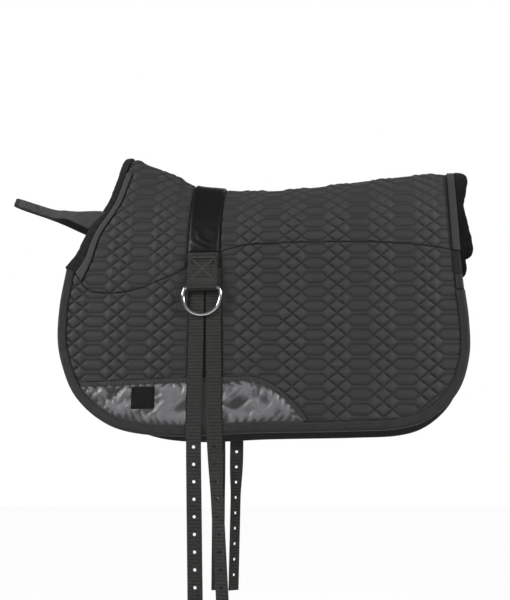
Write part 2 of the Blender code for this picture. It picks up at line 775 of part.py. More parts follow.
def build_binding(finish, pivots):
    """Tape folded round the free edge of a flap, a channel that the cover and lining fill."""
    edge = flap_edge()
    rising = edge[len(edge) // 2:]
    index, end = crossing(rising, 1, corner_drops()[2] - CLEARANCE)
    edge = edge[:len(edge) // 2] + rising[:index + 1] + [end]
    inner = offset_line(edge, BINDING_WIDTH)
    shell = offset_line(edge, -CLEARANCE)
    outer = offset_line(edge, -CLEARANCE - BINDING_THICKNESS)
    top_in, top_out = CLEARANCE, CLEARANCE + BINDING_THICKNESS
    low_in = -FLAP_BORDER - CLEARANCE
    low_out = low_in - BINDING_THICKNESS
    sections = []
    for k in range(len(edge)):
        profile = ((inner[k], top_out), (outer[k], top_out), (outer[k], low_out),
                   (inner[k], low_out), (inner[k], low_in), (shell[k], low_in),
                   (shell[k], top_in), (inner[k], top_in))
        sections.append([flap_point(place.x, place.y, out) for place, out in profile])
    add_pair("edge_binding", mesh_from(skin(sections), "near_edge_binding"), finish, pivots)


def build_corner(finish, pivots):
    """Tape over the rear corner of a flap and the bar tack below it."""
    edge = flap_edge()
    rising = edge[len(edge) // 2:]
    top, tape_foot, tack_foot = corner_drops()

    def strip(high, low, width):
        count = 3
        sides = []
        for step in range(count + 1):
            z = high + (low - high) * step / count
            limit = crossing(rising, 1, min(z, rising[-1].y - MATCH))[1].x
            sides.append((limit, z))
        left = [(x - width, z) for x, z in sides]
        return left + list(reversed(sides))
    tape_top = seam_height(rear_edge(1) - REAR_TAPE_WIDTH) - SEAM_GAP
    outline = strip(min(top, tape_top) - CLEARANCE, tape_foot, REAR_TAPE_WIDTH)
    flat_piece("corner_tape", outline, CLEARANCE, CLEARANCE + TAPE_THICKNESS, finish, pivots)
    outline = strip(tape_foot - CLEARANCE, tack_foot, BAR_TACK_WIDTH)
    flat_piece("bar_tack", outline, CLEARANCE, CLEARANCE + BAR_TACK_THICKNESS, finish, pivots)


# Wear patch

def patch_edge():
    return curve_through([(x, -z) for x, z in share_points(PATCH_EDGE_SHARES, PAD_DROP)],
                         PATCH_STEP)


def patch_level(x):
    """Height of the patch's upper edge over a place along the flap."""
    edge = patch_edge()
    if not edge[0].x < x < edge[-1].x:
        return -PAD_DROP
    return crossing(edge, 0, x)[1].y


def patch_outline():
    """Trim and patch outlines: the trim follows the patch's upper edge."""
    border = offset_line(flap_edge(), BINDING_WIDTH + 2 * CLEARANCE)
    top = patch_edge()
    low = offset_line(top, -TRIM_WIDTH)
    under = offset_line(top, -TRIM_WIDTH - CLEARANCE)

    def from_border_to_border(line):
        """Trim a line where it runs into the binding at both ends."""
        falling = border[:len(border) // 2]
        floor = min(point.y for point in border) + BINDING_WIDTH
        front = crossing(falling, 1, line[0].y)[1]
        middle = [point for point in line if point.x > front.x + MATCH and point.y > floor]
        rear = crossing(border[len(border) // 4:], 0, middle[-1].x + TRIM_WIDTH)[1]
        return [front] + middle + [rear]
    high_line, low_line = from_border_to_border(top), from_border_to_border(low)
    patch_line = from_border_to_border(under)
    start = crossing(border[:len(border) // 2], 1, patch_line[0].y)[0] + 1
    count = sum(1 for point in border[start:len(border) // 2 + 4] if point.x < patch_line[-1].x)
    rim = [point for point in border[start:start + count] if point.x < patch_line[-1].x - MATCH]
    return {"trim": low_line + list(reversed(high_line)),
            "patch": rim + list(reversed(patch_line))}


def build_patch(outlines, finishes, pivots):
    flat_piece("patch_trim", outlines["trim"], CLEARANCE, CLEARANCE + TRIM_THICKNESS,
               finishes["tape"], pivots)
    flat_piece("wear_patch", outlines["patch"], CLEARANCE, CLEARANCE + PATCH_THICKNESS,
               finishes["satin"], pivots)
    level = 2 * CLEARANCE + PATCH_THICKNESS
    across, up = LABEL_WIDTH / 2, LABEL_HEIGHT / 2
    corners = [(LABEL_PLACE + h * across, v * up - LABEL_DROP)
               for h, v in ((-1, -1), (1, -1), (1, 1), (-1, 1))]
    net = Net()
    net.face(corners)
    shape = even_shell(net.finish(), flap_point, level + LABEL_THICKNESS, level)
    add_piece("near_label_patch", mesh_from(shape, "near_label_patch"), finishes["label"],
              pivots["near"])


# Webbing

def strip_body(frames, width, thickness):
    """A flat strip through frames of (middle, way across, way out, share of its width)."""
    sections = []
    for middle, across, out, share in frames:
        side = across * (width * share / 2)
        face = out * (thickness / 2)
        sections.append([middle - side - face, middle + side - face,
                         middle + side + face, middle - side + face])
    return skin(sections)


BILLET_LEVEL = CLEARANCE + WEBBING_THICKNESS / 2
FREE_LEVEL = 2 * CLEARANCE + BINDING_THICKNESS + WEBBING_THICKNESS / 2
TAB_LEVEL = BILLET_LEVEL + WEBBING_THICKNESS + CLEARANCE
LOOP_RADIUS = RING_WIRE / 2 + CLEARANCE + WEBBING_THICKNESS / 2
RING_LEVEL = TAB_LEVEL + LOOP_RADIUS
TAB_OUTER_LEVEL = TAB_LEVEL + WEBBING_THICKNESS + CLEARANCE


def billet_x(index, z):
    lean = BILLET_LEANS[index] * (-z - BILLET_TOP_DROP)
    return BILLET_PLACE + BILLET_SPACING * index + lean


def build_billet_tops(finish, pivots):
    """The sewn stretch of each billet, from under the ring tab down to the last stitching."""
    rise = -STITCH_DROP + BILLET_RISE_LENGTH
    stops = ((-BILLET_TOP_DROP, BILLET_LEVEL), (rise, BILLET_LEVEL), (-STITCH_DROP, FREE_LEVEL))
    for index, name in enumerate(("front_billet_top", "rear_billet_top")):
        frames = [(flap_point(billet_x(index, z), z, level), Vector((1, 0, 0)), FLAP_OUTWARD, 1)
                  for z, level in stops]
        shape = strip_body(frames, BILLET_WIDTH, WEBBING_THICKNESS)
        add_pair(name, mesh_from(shape, "near_" + name), finish, pivots)


def tail_frames(index, drift, twist):
    """Frames down the free part of a near billet. Drift is its run to the rear in its length
    from the flap's foot, and twist its turn about itself, in degrees."""
    top = flap_point(billet_x(index, -STITCH_DROP), -STITCH_DROP - SEAM_GAP, FREE_LEVEL)
    leave = flap_point(billet_x(index, -FREE_DROP), -FREE_DROP, FREE_LEVEL)
    foot_x = leave.x + drift
    drops = sorted({FREE_DROP + BILLET_BOW * k / 4 for k in range(5)}
                   | {FREE_DROP + TWIST_LENGTH * k / 4 for k in range(1, 5)}
                   | {BILLET_END_DROP})
    frames = [(top, Vector((1, 0, 0)), FLAP_OUTWARD, 1)]
    tilt_foot = leave.y
    for drop in drops:
        run = drop - FREE_DROP
        bow = min(run, BILLET_BOW)
        lean_out = FLAP_SLOPE * (bow - bow * bow / (2 * BILLET_BOW))
        slope_here = FLAP_SLOPE * (1 - bow / BILLET_BOW)
        share = run / (BILLET_END_DROP - FREE_DROP)
        place = Vector((leave.x + drift * share, tilt_foot - lean_out, leave.z - run))
        down = Vector(((foot_x - leave.x) / (BILLET_END_DROP - FREE_DROP), -slope_here, -1))
        out = Vector((0, -1, slope_here)).normalized()
        turn = Matrix.Rotation(radians(twist) * smooth_step(run / TWIST_LENGTH), 3, down)
        out = turn @ out
        across = out.cross(down).normalized()
        frames.append((place, across, out, 1))
    return frames


def frame_at(frames, z):
    """The frame at a height, between the frames of a tail."""
    for (p0, a0, o0, _), (p1, a1, o1, _) in zip(frames, frames[1:]):
        if p1.z <= z <= p0.z:
            t = (z - p0.z) / (p1.z - p0.z)
            return p0.lerp(p1, t), a0.lerp(a1, t).normalized(), o0.lerp(o1, t).normalized()
    raise ValueError("the tail doesn't reach that height")


def punch_holes(name, tail, frames, side):
    """A row of round holes cut through a billet's tail by punches."""
    shape = bmesh.new()
    for index in range(HOLE_COUNT):
        drop = FIRST_HOLE_DROP + HOLE_PITCH * index
        place, across, out = frame_at(frames, -drop)
        turn = Matrix((across, out.cross(across), out)).transposed().to_4x4()
        made = bmesh.ops.create_cone(shape, segments=PUNCH_SIDES, radius1=HOLE_DIAMETER / 2,
                                     radius2=HOLE_DIAMETER / 2, depth=PUNCH_LENGTH,
                                     cap_ends=True)
        bmesh.ops.transform(shape, matrix=Matrix.Translation(place) @ turn, verts=made["verts"])
    mesh = mesh_from(shape, name + "_punches")
    if side == FAR:
        mesh = mirrored(mesh, name + "_punches")
    mesh.transform(Matrix.Translation(-world_place(tail.parent)))
    punches = bpy.data.objects.new(name + "_punches", mesh)
    bpy.context.collection.objects.link(punches)
    punches.parent = tail.parent
    punches.hide_render = True
    punches.display_type = "WIRE"
    cut = tail.modifiers.new("punched holes", "BOOLEAN")
    cut.operation = "DIFFERENCE"
    cut.solver = "EXACT"
    cut.object = punches


def build_tail(name, side, index, drift, twist, finish, flap_pivot):
    """A billet's free tail, which swings from the last stitching."""
    frames = tail_frames(index, drift, twist)
    mesh = mesh_from(strip_body(frames, BILLET_WIDTH, WEBBING_THICKNESS), name)
    axis = flap_point(0, -STITCH_DROP, FREE_LEVEL + WEBBING_THICKNESS / 2)
    place = (frames[0][0].x, axis.y * -side, axis.z)
    pivot = make_pivot(name + "_swing", place, flap_pivot)
    if side == FAR:
        mesh = mirrored(mesh, name)
    tail = add_piece(name, mesh, finish, pivot)
    punch_holes(name, tail, frames, side)


TAILS = (("near_front_billet", NEAR, 0, 0.0050, 0.0),
         ("near_rear_billet", NEAR, 1, 0.0155, 28.0),
         ("far_front_billet", FAR, 0, -0.0010, 25.0),
         ("far_rear_billet", FAR, 1, -0.0060, 50.0))


def build_ring_tab(finish, pivots):
    """Webbing that comes off the strap, runs down, turns round the ring's bar and comes back up
    to be sewn down on itself."""
    low_level = CLEARANCE + WEBBING_THICKNESS / 2
    step = TAB_OUTER_LEVEL - TAB_LEVEL
    jog_end = TAB_JOG_DROP + TAB_JOG_LENGTH
    route = [(TAB_TOP_DROP, low_level), (TAB_JOG_DROP, low_level), (jog_end, TAB_LEVEL)]
    for k in range(ARC_STEPS + 3):
        turn = pi * k / (ARC_STEPS + 2)
        route.append((RING_DROP + LOOP_RADIUS * sin(turn), RING_LEVEL - LOOP_RADIUS * cos(turn)))
    route += [(RING_DROP - TAB_RAMP_LENGTH, TAB_OUTER_LEVEL), (jog_end, TAB_OUTER_LEVEL),
              (TAB_JOG_DROP, low_level + step), (TAB_TOP_DROP, low_level + step)]
    line = [Vector(point) for point in route]
    faces = [offset_line(line, side * WEBBING_THICKNESS / 2) for side in (1, -1)]
    sections = []
    for one, other in zip(*faces):
        corners = ((STRAP_FRONT, one), (STRAP_REAR, one), (STRAP_REAR, other), (STRAP_FRONT, other))
        sections.append([flap_point(x, -place.x, place.y) for x, place in corners])
    add_pair("ring_tab", mesh_from(skin(sections), "near_ring_tab"), finish, pivots)


def ring_line():
    """Middle of the wire of a dee ring: places across and down from the middle of its bar."""
    half, corner = RING_HALF_WIDTH, RING_CORNER
    line = []
    for step in range(ARC_STEPS // 2 + 1):
        turn = pi / 2 * step / (ARC_STEPS // 2)
        line.append((half - corner + corner * sin(turn), corner - corner * cos(turn)))
    for step in range(RING_STEPS + 1):
        turn = pi * step / RING_STEPS
        line.append((half * cos(turn), RING_HEIGHT - RING_BOW + RING_BOW * sin(turn)))
    return line + [(-x, down) for x, down in reversed(line[:ARC_STEPS // 2 + 1])]


def build_ring(name, side, finish, pivot):
    """A welded wire dee, its bar held in the tab, leaning until its foot rests on the billets."""
    rest = BILLET_LEVEL + WEBBING_THICKNESS / 2 + CLEARANCE + RING_WIRE / 2
    lean = (RING_LEVEL - rest) / RING_HEIGHT
    curve = bpy.data.curves.new(name, "CURVE")
    curve.dimensions = "3D"
    curve.bevel_depth = RING_WIRE / 2
    curve.bevel_resolution = 2
    spline = curve.splines.new("POLY")
    points = []
    for across, down in ring_line():
        place = flap_point(STRAP_PLACE + across, -RING_DROP - down, RING_LEVEL - lean * down)
        points.append(Vector((place.x, place.y * -side, place.z)) - world_place(pivot))
    spline.points.add(len(points) - 1)
    for spot, point in zip(spline.points, points):
        spot.co = (*point, 1)
    spline.use_cyclic_u = True
    ring = bpy.data.objects.new(name, curve)
    bpy.context.collection.objects.link(ring)
    curve.materials.append(material(name + "_finish", *finish))
    ring.parent = pivot


# Grab handle

def handle_hinge():
    return Vector((HANDLE_ROOT_PLACE, 0, -HANDLE_ROOT_DROP))


def loop_place(turn):
    """The middle of the handle's webbing, some degrees round from its near root, from midway
    between the roots."""
    ahead = Vector((-HANDLE_REACH, 0, HANDLE_RISE)) * sin(radians(turn))
    side = 1 if turn > 90 else -1
    spread = value_at(HANDLE_SPREAD_SHARES, 180 - turn if turn > 90 else turn)
    return ahead + Vector((0, side * HANDLE_HALF_SPAN * spread, 0))


def build_handle(finish):
    """A loop of webbing in front of the withers, between its two sewn roots."""
    hinge = handle_hinge()
    pivot = make_pivot("grab_handle_hinge", hinge)
    ahead = Vector((-HANDLE_REACH, 0, HANDLE_RISE))
    ahead.normalize()
    up = Vector((HANDLE_RISE, 0, HANDLE_REACH)).normalized()
    half = HANDLE_WIDTH / 2
    frames = []
    for turn in (80, 60, 35):
        back = half * sin(radians(turn))
        place = hinge + Vector((0, -HANDLE_HALF_SPAN, 0)) - ahead * back
        frames.append((place, up, Vector((0, -1, 0)), cos(radians(turn))))
    for step in range(LOOP_STEPS + 1):
        turn = 180 * step / LOOP_STEPS
        run = loop_place(turn + 1) - loop_place(turn - 1)
        frames.append((hinge + loop_place(turn), up, up.cross(run).normalized(), 1))
    first = [(Vector((p.x, -p.y, p.z)), a, Vector((0, 1, 0)), share)
             for p, a, _, share in reversed(frames[:3])]
    shape = strip_body(frames + first, HANDLE_WIDTH, HANDLE_THICKNESS)
    add_piece("grab_handle", mesh_from(shape, "grab_handle"), finish, pivot)
    for side_name, side in SIDES:
        build_handle_root(side_name + "_handle_root", side, ahead, finish)


def roll_front(z):
    """Just before the front of the front roll on the near side, at a height."""
    best = None
    for step in range(LOOP_STEPS * 4 + 1):
        middle, _, off = roll_frame(front_edge, -ROLL_END_SHARE * step / (LOOP_STEPS * 4), -1)
        place = middle + off * (FRONT_ROLL_WIDTH + ROOT_GAP)
        if best is None or abs(place.z - z) < abs(best.z - z):
            best = place
    return best


def build_handle_root(name, side, ahead, finish):
    """The flared end of the handle's webbing, sewn in under the front roll."""
    hinge = handle_hinge() + Vector((0, -HANDLE_HALF_SPAN, 0))
    up = Vector((HANDLE_RISE, 0, HANDLE_REACH)).normalized()
    radius = HANDLE_WIDTH / 2 + CUP_GAP
    half = Vector((0, HANDLE_THICKNESS / 2, 0))
    sections = []
    for step in range(ARC_STEPS + 1):
        down = step / ARC_STEPS
        turn = radians(CUP_FROM + (CUP_TO - CUP_FROM) * down)
        cup = hinge + (ahead * cos(turn) + up * sin(turn)) * radius
        back = roll_front(hinge.z + HANDLE_FLARE * (1 - 2 * down) / 2)
        sections.append([cup - half, cup + half, back + half, back - half])
    mesh = mesh_from(skin(sections), name)
    add_piece(name, mirrored(mesh, name) if side == FAR else mesh, finish)


# Whole pad

FINISHES = {
    "cover": (COVER_CHARCOAL, 0.85),
    "foam": (FOAM_CREAM, 0.90),
    "wadding": (WADDING_WHITE, 0.95),
    "fleece": (FLEECE_BLACK, 0.95),
    "tape": (TAPE_GREY, 0.70),
    "binding": (FABRIC_BLACK, 0.75),
    "strap": (STRAP_BROWN, 0.60),
    "webbing": (WEBBING_GREY, 0.70),
    "satin": (SATIN_GREY, 0.40),
    "label": (FABRIC_BLACK, 0.55),
    "chrome": (CHROME, 0.12, 1.0),
}


def hinge_place(side):
    """Axis of a flap: level with the top of the seam and outside everything that moves past it."""
    lowest = min(seam_height(x) for x in seam_stations())
    out = half_width(lowest) + QUILT_PUFF + CLEARANCE
    highest = max(seam_height(x) for x in seam_stations())
    return Vector((0, side * out, highest + CLEARANCE))


def ring_place(side):
    bar = flap_point(STRAP_PLACE, -RING_DROP, RING_LEVEL)
    return Vector((bar.x, bar.y * -side, bar.z))


def main():
    clear_scene()
    build_seat(FINISHES)
    pivots = {name: make_pivot(name + "_flap_hinge", hinge_place(side)) for name, side in SIDES}
    build_flap_layers(FINISHES, pivots)
    build_billet_tops(FINISHES["webbing"], pivots)
    build_ring_tab(FINISHES["webbing"], pivots)
    for name, side in SIDES:
        pivot = make_pivot(name + "_ring_bar", ring_place(side), pivots[name])
        build_ring(name + "_dee_ring", side, FINISHES["chrome"], pivot)
    for name, side, index, drift, twist in TAILS:
        flap = pivots["near" if side == NEAR else "far"]
        build_tail(name, side, index, drift, twist, FINISHES["webbing"], flap)
    build_handle(FINISHES["webbing"])


main()
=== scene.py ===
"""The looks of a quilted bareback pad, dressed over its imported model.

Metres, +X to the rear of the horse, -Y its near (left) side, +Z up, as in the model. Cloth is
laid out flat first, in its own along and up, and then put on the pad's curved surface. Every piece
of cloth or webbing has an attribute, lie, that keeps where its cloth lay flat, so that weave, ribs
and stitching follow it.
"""

from functools import partialmethod
from math import cos, pi, radians, sin, sqrt

import bmesh
import bpy
import numpy as np
from bpy.props import FloatProperty, FloatVectorProperty, PointerProperty
from mathutils import Matrix, Vector, geometry


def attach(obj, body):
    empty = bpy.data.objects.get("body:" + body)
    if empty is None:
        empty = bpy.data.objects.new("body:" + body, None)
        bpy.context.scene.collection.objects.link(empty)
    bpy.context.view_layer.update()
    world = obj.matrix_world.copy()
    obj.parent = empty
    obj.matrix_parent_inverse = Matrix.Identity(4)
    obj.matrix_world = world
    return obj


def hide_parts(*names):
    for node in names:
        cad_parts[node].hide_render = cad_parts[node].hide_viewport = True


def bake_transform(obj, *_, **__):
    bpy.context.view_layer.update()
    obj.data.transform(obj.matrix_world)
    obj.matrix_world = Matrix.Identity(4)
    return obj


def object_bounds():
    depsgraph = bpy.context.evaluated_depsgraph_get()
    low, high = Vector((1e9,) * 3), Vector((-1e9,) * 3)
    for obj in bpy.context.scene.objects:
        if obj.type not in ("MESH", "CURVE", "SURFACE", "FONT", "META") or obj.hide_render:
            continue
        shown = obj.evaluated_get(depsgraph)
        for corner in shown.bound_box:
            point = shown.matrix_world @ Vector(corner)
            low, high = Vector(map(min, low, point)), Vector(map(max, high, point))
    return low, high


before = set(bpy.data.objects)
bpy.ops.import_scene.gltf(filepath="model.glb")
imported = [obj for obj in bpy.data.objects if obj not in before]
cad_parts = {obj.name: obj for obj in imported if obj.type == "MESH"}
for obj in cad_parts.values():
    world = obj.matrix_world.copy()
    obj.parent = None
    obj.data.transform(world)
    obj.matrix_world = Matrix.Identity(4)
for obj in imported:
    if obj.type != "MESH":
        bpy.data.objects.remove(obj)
CAD_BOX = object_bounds()

bl_info = {
    "name": "Bareback pad",
    "version": (1, 0, 0),
    "blender": (4, 5, 0),
    "location": "3D View > Sidebar > Bareback pad",
    "description": "Dresses a packed bareback pad with quilting, fleece, webbing and a studio",
    "category": "Object",
}

# Sizes and places of the model

PAD_LENGTH = 0.698
PAD_DROP = 0.427
WITHER_RISE = 0.068
SEAM_HALF_WIDTH = 0.103
SEAM_DROP = 0.098
FLAP_SLOPE = 0.045 / (PAD_DROP - SEAM_DROP)
CLEARANCE = 0.0003
SEAM_GAP = 0.0001
COVER_THICKNESS = 0.0025
LINING_THICKNESS = 0.0050
SPINE_FOAM = 0.0080
SEAT_FOAM = 0.0150
SEAT_EDGE_FOAM = 0.0020
FOAM_TAPER = 0.045
FOAM_SEAM_SHARE = 0.30
FOAM_SPINE_SHARE = 0.35
FLAP_WADDING = 0.0045
FLAP_EDGE_WADDING = 0.0008
WADDING_TAPER = 0.025
FLAP_BORDER = 0.0080

SPINE = ((-0.50, 1.02), (-0.342, 1.0), (-0.27, 0.73), (-0.221, 0.505), (-0.165, 0.20),
         (-0.10, 0.09), (0.0, 0.0), (0.129, 0.06), (0.296, 0.225), (0.42, 0.34), (0.53, 0.35))
SEAM = ((-0.443, 0.333), (-0.4155, 0.400), (-0.384, 0.4215), (-0.302, 0.417), (-0.206, 0.358),
        (-0.079, 0.260), (-0.006, 0.233), (0.256, 0.2295), (0.40, 0.247), (0.504, 0.276))
FLAP = ((-0.467, 0.321), (-0.4785, 0.468), (-0.479, 0.609), (-0.463, 0.721), (-0.430, 0.834),
        (-0.370, 0.927), (-0.294, 0.981), (-0.172, 1.0), (0.0, 0.9895), (0.229, 0.984),
        (0.355, 0.973), (0.430, 0.927), (0.490, 0.827), (0.517, 0.691), (0.5186, 0.550),
        (0.510, 0.410), (0.504, 0.278))
PATCH_EDGE = ((-0.4155, 0.788), (-0.153, 0.773), (-0.043, 0.770), (0.0, 0.770), (0.037, 0.789),
              (0.079, 0.834), (0.115, 0.895), (0.150, 0.975))
FRONT_EDGE = ((0.0, -0.330), (0.33, -0.338), (0.54, -0.354), (0.62, -0.370), (0.74, -0.4025),
              (0.87, -0.421), (1.0, -0.443))
REAR_EDGE = ((0.0, 0.4985), (0.5, 0.498), (0.87, 0.5015), (1.0, 0.504))

QUILT_PERIOD = 0.075
QUILT_BAND = 0.025
FIRST_BAND = -0.269
QUILT_PITCH = 0.0250
QUILT_PAIR = 0.0070
QUILT_PHASE = 0.0041
QUILT_TILT = 0.0086
QUILT_COLUMN = QUILT_PERIOD - QUILT_BAND
QUILT_SLOPE = (2 * QUILT_PITCH - QUILT_PAIR) / QUILT_COLUMN
QUILT_LEAN = sqrt(1 + QUILT_SLOPE ** 2)

BINDING_WIDTH = 0.014
BINDING_THICKNESS = 0.0012
FRONT_TAPE_WIDTH = 0.010
REAR_TAPE_WIDTH = 0.013
TAPE_THICKNESS = 0.0010
FRONT_ROLL_WIDTH = 0.013
REAR_ROLL_WIDTH = 0.015
ROLL_THICKNESS = 0.014
ROLL_PROUD = 0.0020
ROLL_GAP = 0.0006
ROLL_END_SHARE = 0.985
FRONT_TAPE_START_SHARE = 0.33
CORNER_TAPE_LENGTH = 0.040
BAR_TACK_LENGTH = 0.025
BAR_TACK_WIDTH = 0.012

STRAP_WIDTH = 0.052
STRAP_THICKNESS = 0.0024
STRAP_PLACE = -0.0855
STRAP_END_DROP = 0.1115
STRAP_FRONT = STRAP_PLACE - STRAP_WIDTH / 2
STRAP_REAR = STRAP_PLACE + STRAP_WIDTH / 2
WEBBING_THICKNESS = 0.0022
TAB_TOP_DROP = 0.1125
TAB_JOG_DROP = 0.1300
TAB_JOG_LENGTH = 0.008
TAB_RAMP_LENGTH = 0.014
RING_DROP = 0.1760
RING_WIRE = 0.0050
RING_HEIGHT = 0.0470
RING_CORNER = 0.0035
RING_BOW_RADIUS = 0.0322        # the round bow, which the straight bar cuts
RING_GAUGE = 0.0060
BILLET_WIDTH = 0.025
BILLET_SPACING = 0.0268
BILLET_PLACE = -0.0950
BILLET_LEANS = (0.006, 0.032)
BILLET_TOP_DROP = 0.1400
STITCH_DROP = 0.7658 * PAD_DROP
BILLET_RISE_LENGTH = 0.015
FREE_DROP = 0.9953 * PAD_DROP
BILLET_BOW = 0.045
BILLET_END_DROP = 0.7000
TWIST_LENGTH = 0.110
HOLE_DIAMETER = 0.0052
HOLE_PITCH = 0.0283
FIRST_HOLE_DROP = 0.4450
HOLE_COUNT = 9
BILLET_LEVEL = CLEARANCE + WEBBING_THICKNESS / 2
FREE_LEVEL = 2 * CLEARANCE + BINDING_THICKNESS + WEBBING_THICKNESS / 2
TAB_LEVEL = BILLET_LEVEL + WEBBING_THICKNESS + CLEARANCE
LOOP_RADIUS = RING_WIRE / 2 + CLEARANCE + WEBBING_THICKNESS / 2
RING_LEVEL = TAB_LEVEL + LOOP_RADIUS
TAB_OUTER_LEVEL = TAB_LEVEL + WEBBING_THICKNESS + CLEARANCE
BILLETS = (("near", "front", 0, 0.0050, 0.0), ("near", "rear", 1, 0.0155, 28.0),
           ("far", "front", 0, -0.0010, 25.0), ("far", "rear", 1, -0.0060, 50.0))

PATCH_THICKNESS = 0.0006
TRIM_THICKNESS = 0.0009
TRIM_WIDTH = 0.008
LABEL_WIDTH = 0.039
LABEL_HEIGHT = 0.036
LABEL_THICKNESS = 0.0007
LABEL_PLACE = -0.181
LABEL_DROP = 0.850 * PAD_DROP
HANDLE_WIDTH = 0.015
HANDLE_REACH = 0.133
HANDLE_RISE = 0.047
HANDLE_HALF_SPAN = 0.085
HANDLE_ROOT_PLACE = -0.318
HANDLE_ROOT_DROP = 0.039
HANDLE_SPREAD = ((-20.0, 0.41), (-10.0, 0.80), (0.0, 1.0), (10.0, 0.80), (20.0, 0.41),
                 (30.0, 0.245), (45.0, 0.205), (60.0, 0.19), (75.0, 0.12), (90.0, 0.0),
                 (105.0, -0.12))
HANDLE_FLARE = 0.038

# Sizes and places of the dressing

# Width of each fleece roll as a share of its usual width, from the spine to its low end
REAR_SWELLS = ((0.0, 1.30), (0.22, 1.35), (0.36, 1.15), (0.48, 0.78), (0.56, 0.80), (0.72, 1.22),
               (0.88, 1.42), (1.0, 1.20))
FRONT_SWELLS = ((0.0, 1.0), (0.4, 1.0), (0.7, 1.12), (0.88, 1.42), (1.0, 1.70))
# Heights between which the cloth would fold when a flap is lifted; the fold is not made
FOLD_TOP = -0.070
FOLD_FOOT = -0.111
# Start and end of a billet's bend, up from its lowest stitching; the bend is not made
BILLET_BEND = (0.004, -0.008)
# Bodies whose stitching is baked in place, as the cloth or webbing that it goes through is
BENT = ("seat", "grab_handle")
SIDES = ("near", "far")
# Section of the folded braid in millimetres: in from the flap's edge and out from its cover
BINDING_PROFILE = ((14.0, 0.35), (14.2, 0.9), (13.7, 1.45), (12.0, 1.55), (9.0, 1.5), (6.0, 1.55),
                   (3.5, 1.6), (1.5, 1.35), (0.0, 0.5), (-1.0, -1.2), (-1.4, -4.0), (-1.0, -6.8),
                   (0.0, -8.5), (1.5, -9.3), (3.5, -9.5), (6.0, -9.45), (9.0, -9.4),
                   (12.0, -9.45), (13.7, -9.35), (14.2, -8.9), (14.0, -8.35), (0.3, -8.3),
                   (-0.3, -4.0), (0.3, 0.32))

NUDGE = 0.002                   # small difference that slopes are measured over
WAVE_HEIGHT = 0.0016            # of the soft waves in a flap
WAVE_SIZE = 0.15
PUFF_REACH = 0.0088             # from a line of quilting to the top of its puffs
COVER_STITCH = 0.0031           # a stitch of the quilting with its gap
COVER_THREAD = 0.0011           # of the cover's weave
LINE_ROOM = 0.62                # steps between a line of quilting and a cover's other points
LIES_OPEN = 0.4                 # share of its quilting from which cloth counts as open; below it the cover has painted shade
BASE_STEP = 0.014               # between points of the covers' hidden undersides
SEAM_FADE = 0.003               # from the seam, over which the quilting rises
WEBBING_SINK = 0.008            # how far beside webbing the quilting is pressed down
SEAM_ROW_RISE = 0.0032          # of the row of stitches over the seam
SEAM_ROW_ENDS = 0.016           # from the seam's ends to the row's
TUFT = 0.009                    # of the fleece

TAPE_SHIFT = 0.0002             # of the tapes beside the rolls, in from the cover's ends
TAPE_END_SHARE = 0.998          # how far down the cover's ends they go
TAPE_INSET = 0.0015             # of stitching from the edges of flat tape, and so on below
STRAP_INSET = 0.003
TAB_INSET = 0.005
CROSS_INSET = 0.003             # of the crossed lines from the box round them
BILLET_INSET = 0.0028
HANDLE_INSET = 0.0022
LABEL_INSET = 0.0018
BRAID_INSET = 0.0112            # from the flap's edge
TACK_HEIGHT = 0.0016            # of the bar tack over the cover
HANDLE_GAUGE = 0.0032           # thickness of the handle's webbing as it is shown
HANDLE_BURIED = 0.011           # how far the handle's roots go into the roll
HANDLE_ROW_ENDS = 0.012         # from the handle's roots to the ends of its stitching
HANDLE_FLARE_LENGTH = 0.020     # past its root, over which the webbing narrows

LABEL_THREAD = 0.0009           # of the label's weave
SATIN_SLACK = 0.0046            # height of a fold from which the satin has no painted shade
SATIN_FRAMES = 30               # of cloth simulation
SATIN_CLOTH = {"quality": 6, "mass": 0.12, "tension_stiffness": 18, "compression_stiffness": 18,
               "shear_stiffness": 6, "bending_stiffness": 0.5, "shrink_min": -0.03,
               "vertex_group_mass": "sewn", "use_pressure": True, "uniform_pressure_force": 0.3}

# Name, place, setting for its power, and width of each lamp
LAMPS = (("left", (-1.45, -0.75, 0.62), "key", 0.6), ("right", (1.45, -0.75, 0.62), "key", 0.6),
         ("front", (0.3, -3.0, 0.6), "fill", 2.4), ("rim", (0.1, 2.5, 0.8), "rim", 1.8))
LAMP_AIM = (0, 0, -0.25)
FLOOR_GAP = 0.012               # under the lowest billet
CAMERA_SHIFT = -0.008           # from the pad's middle
SENSOR_HEIGHT = 36.0            # millimetres

OUTWARD = np.array([0.0, -1.0, FLAP_SLOPE]) / sqrt(1 + FLAP_SLOPE ** 2)
ALONG = np.array([1.0, 0.0, 0.0])
SPINE_STACK = COVER_THICKNESS + SPINE_FOAM + LINING_THICKNESS + 2 * CLEARANCE


def unit(vectors):
    """The directions of vectors, each one long."""
    return vectors / np.linalg.norm(vectors, axis=-1, keepdims=True)


def run_along(line):
    """Distance along a line to each of its places."""
    return np.concatenate([[0], np.cumsum(np.linalg.norm(np.diff(line, axis=0), axis=1))])


def read_along(at, run, table):
    """The rows of a table, that go with distances along a run, read at other distances."""
    return np.stack([np.interp(at, run, table[:, k]) for k in range(3)], -1)


# Surface of the pad, read at many places at once

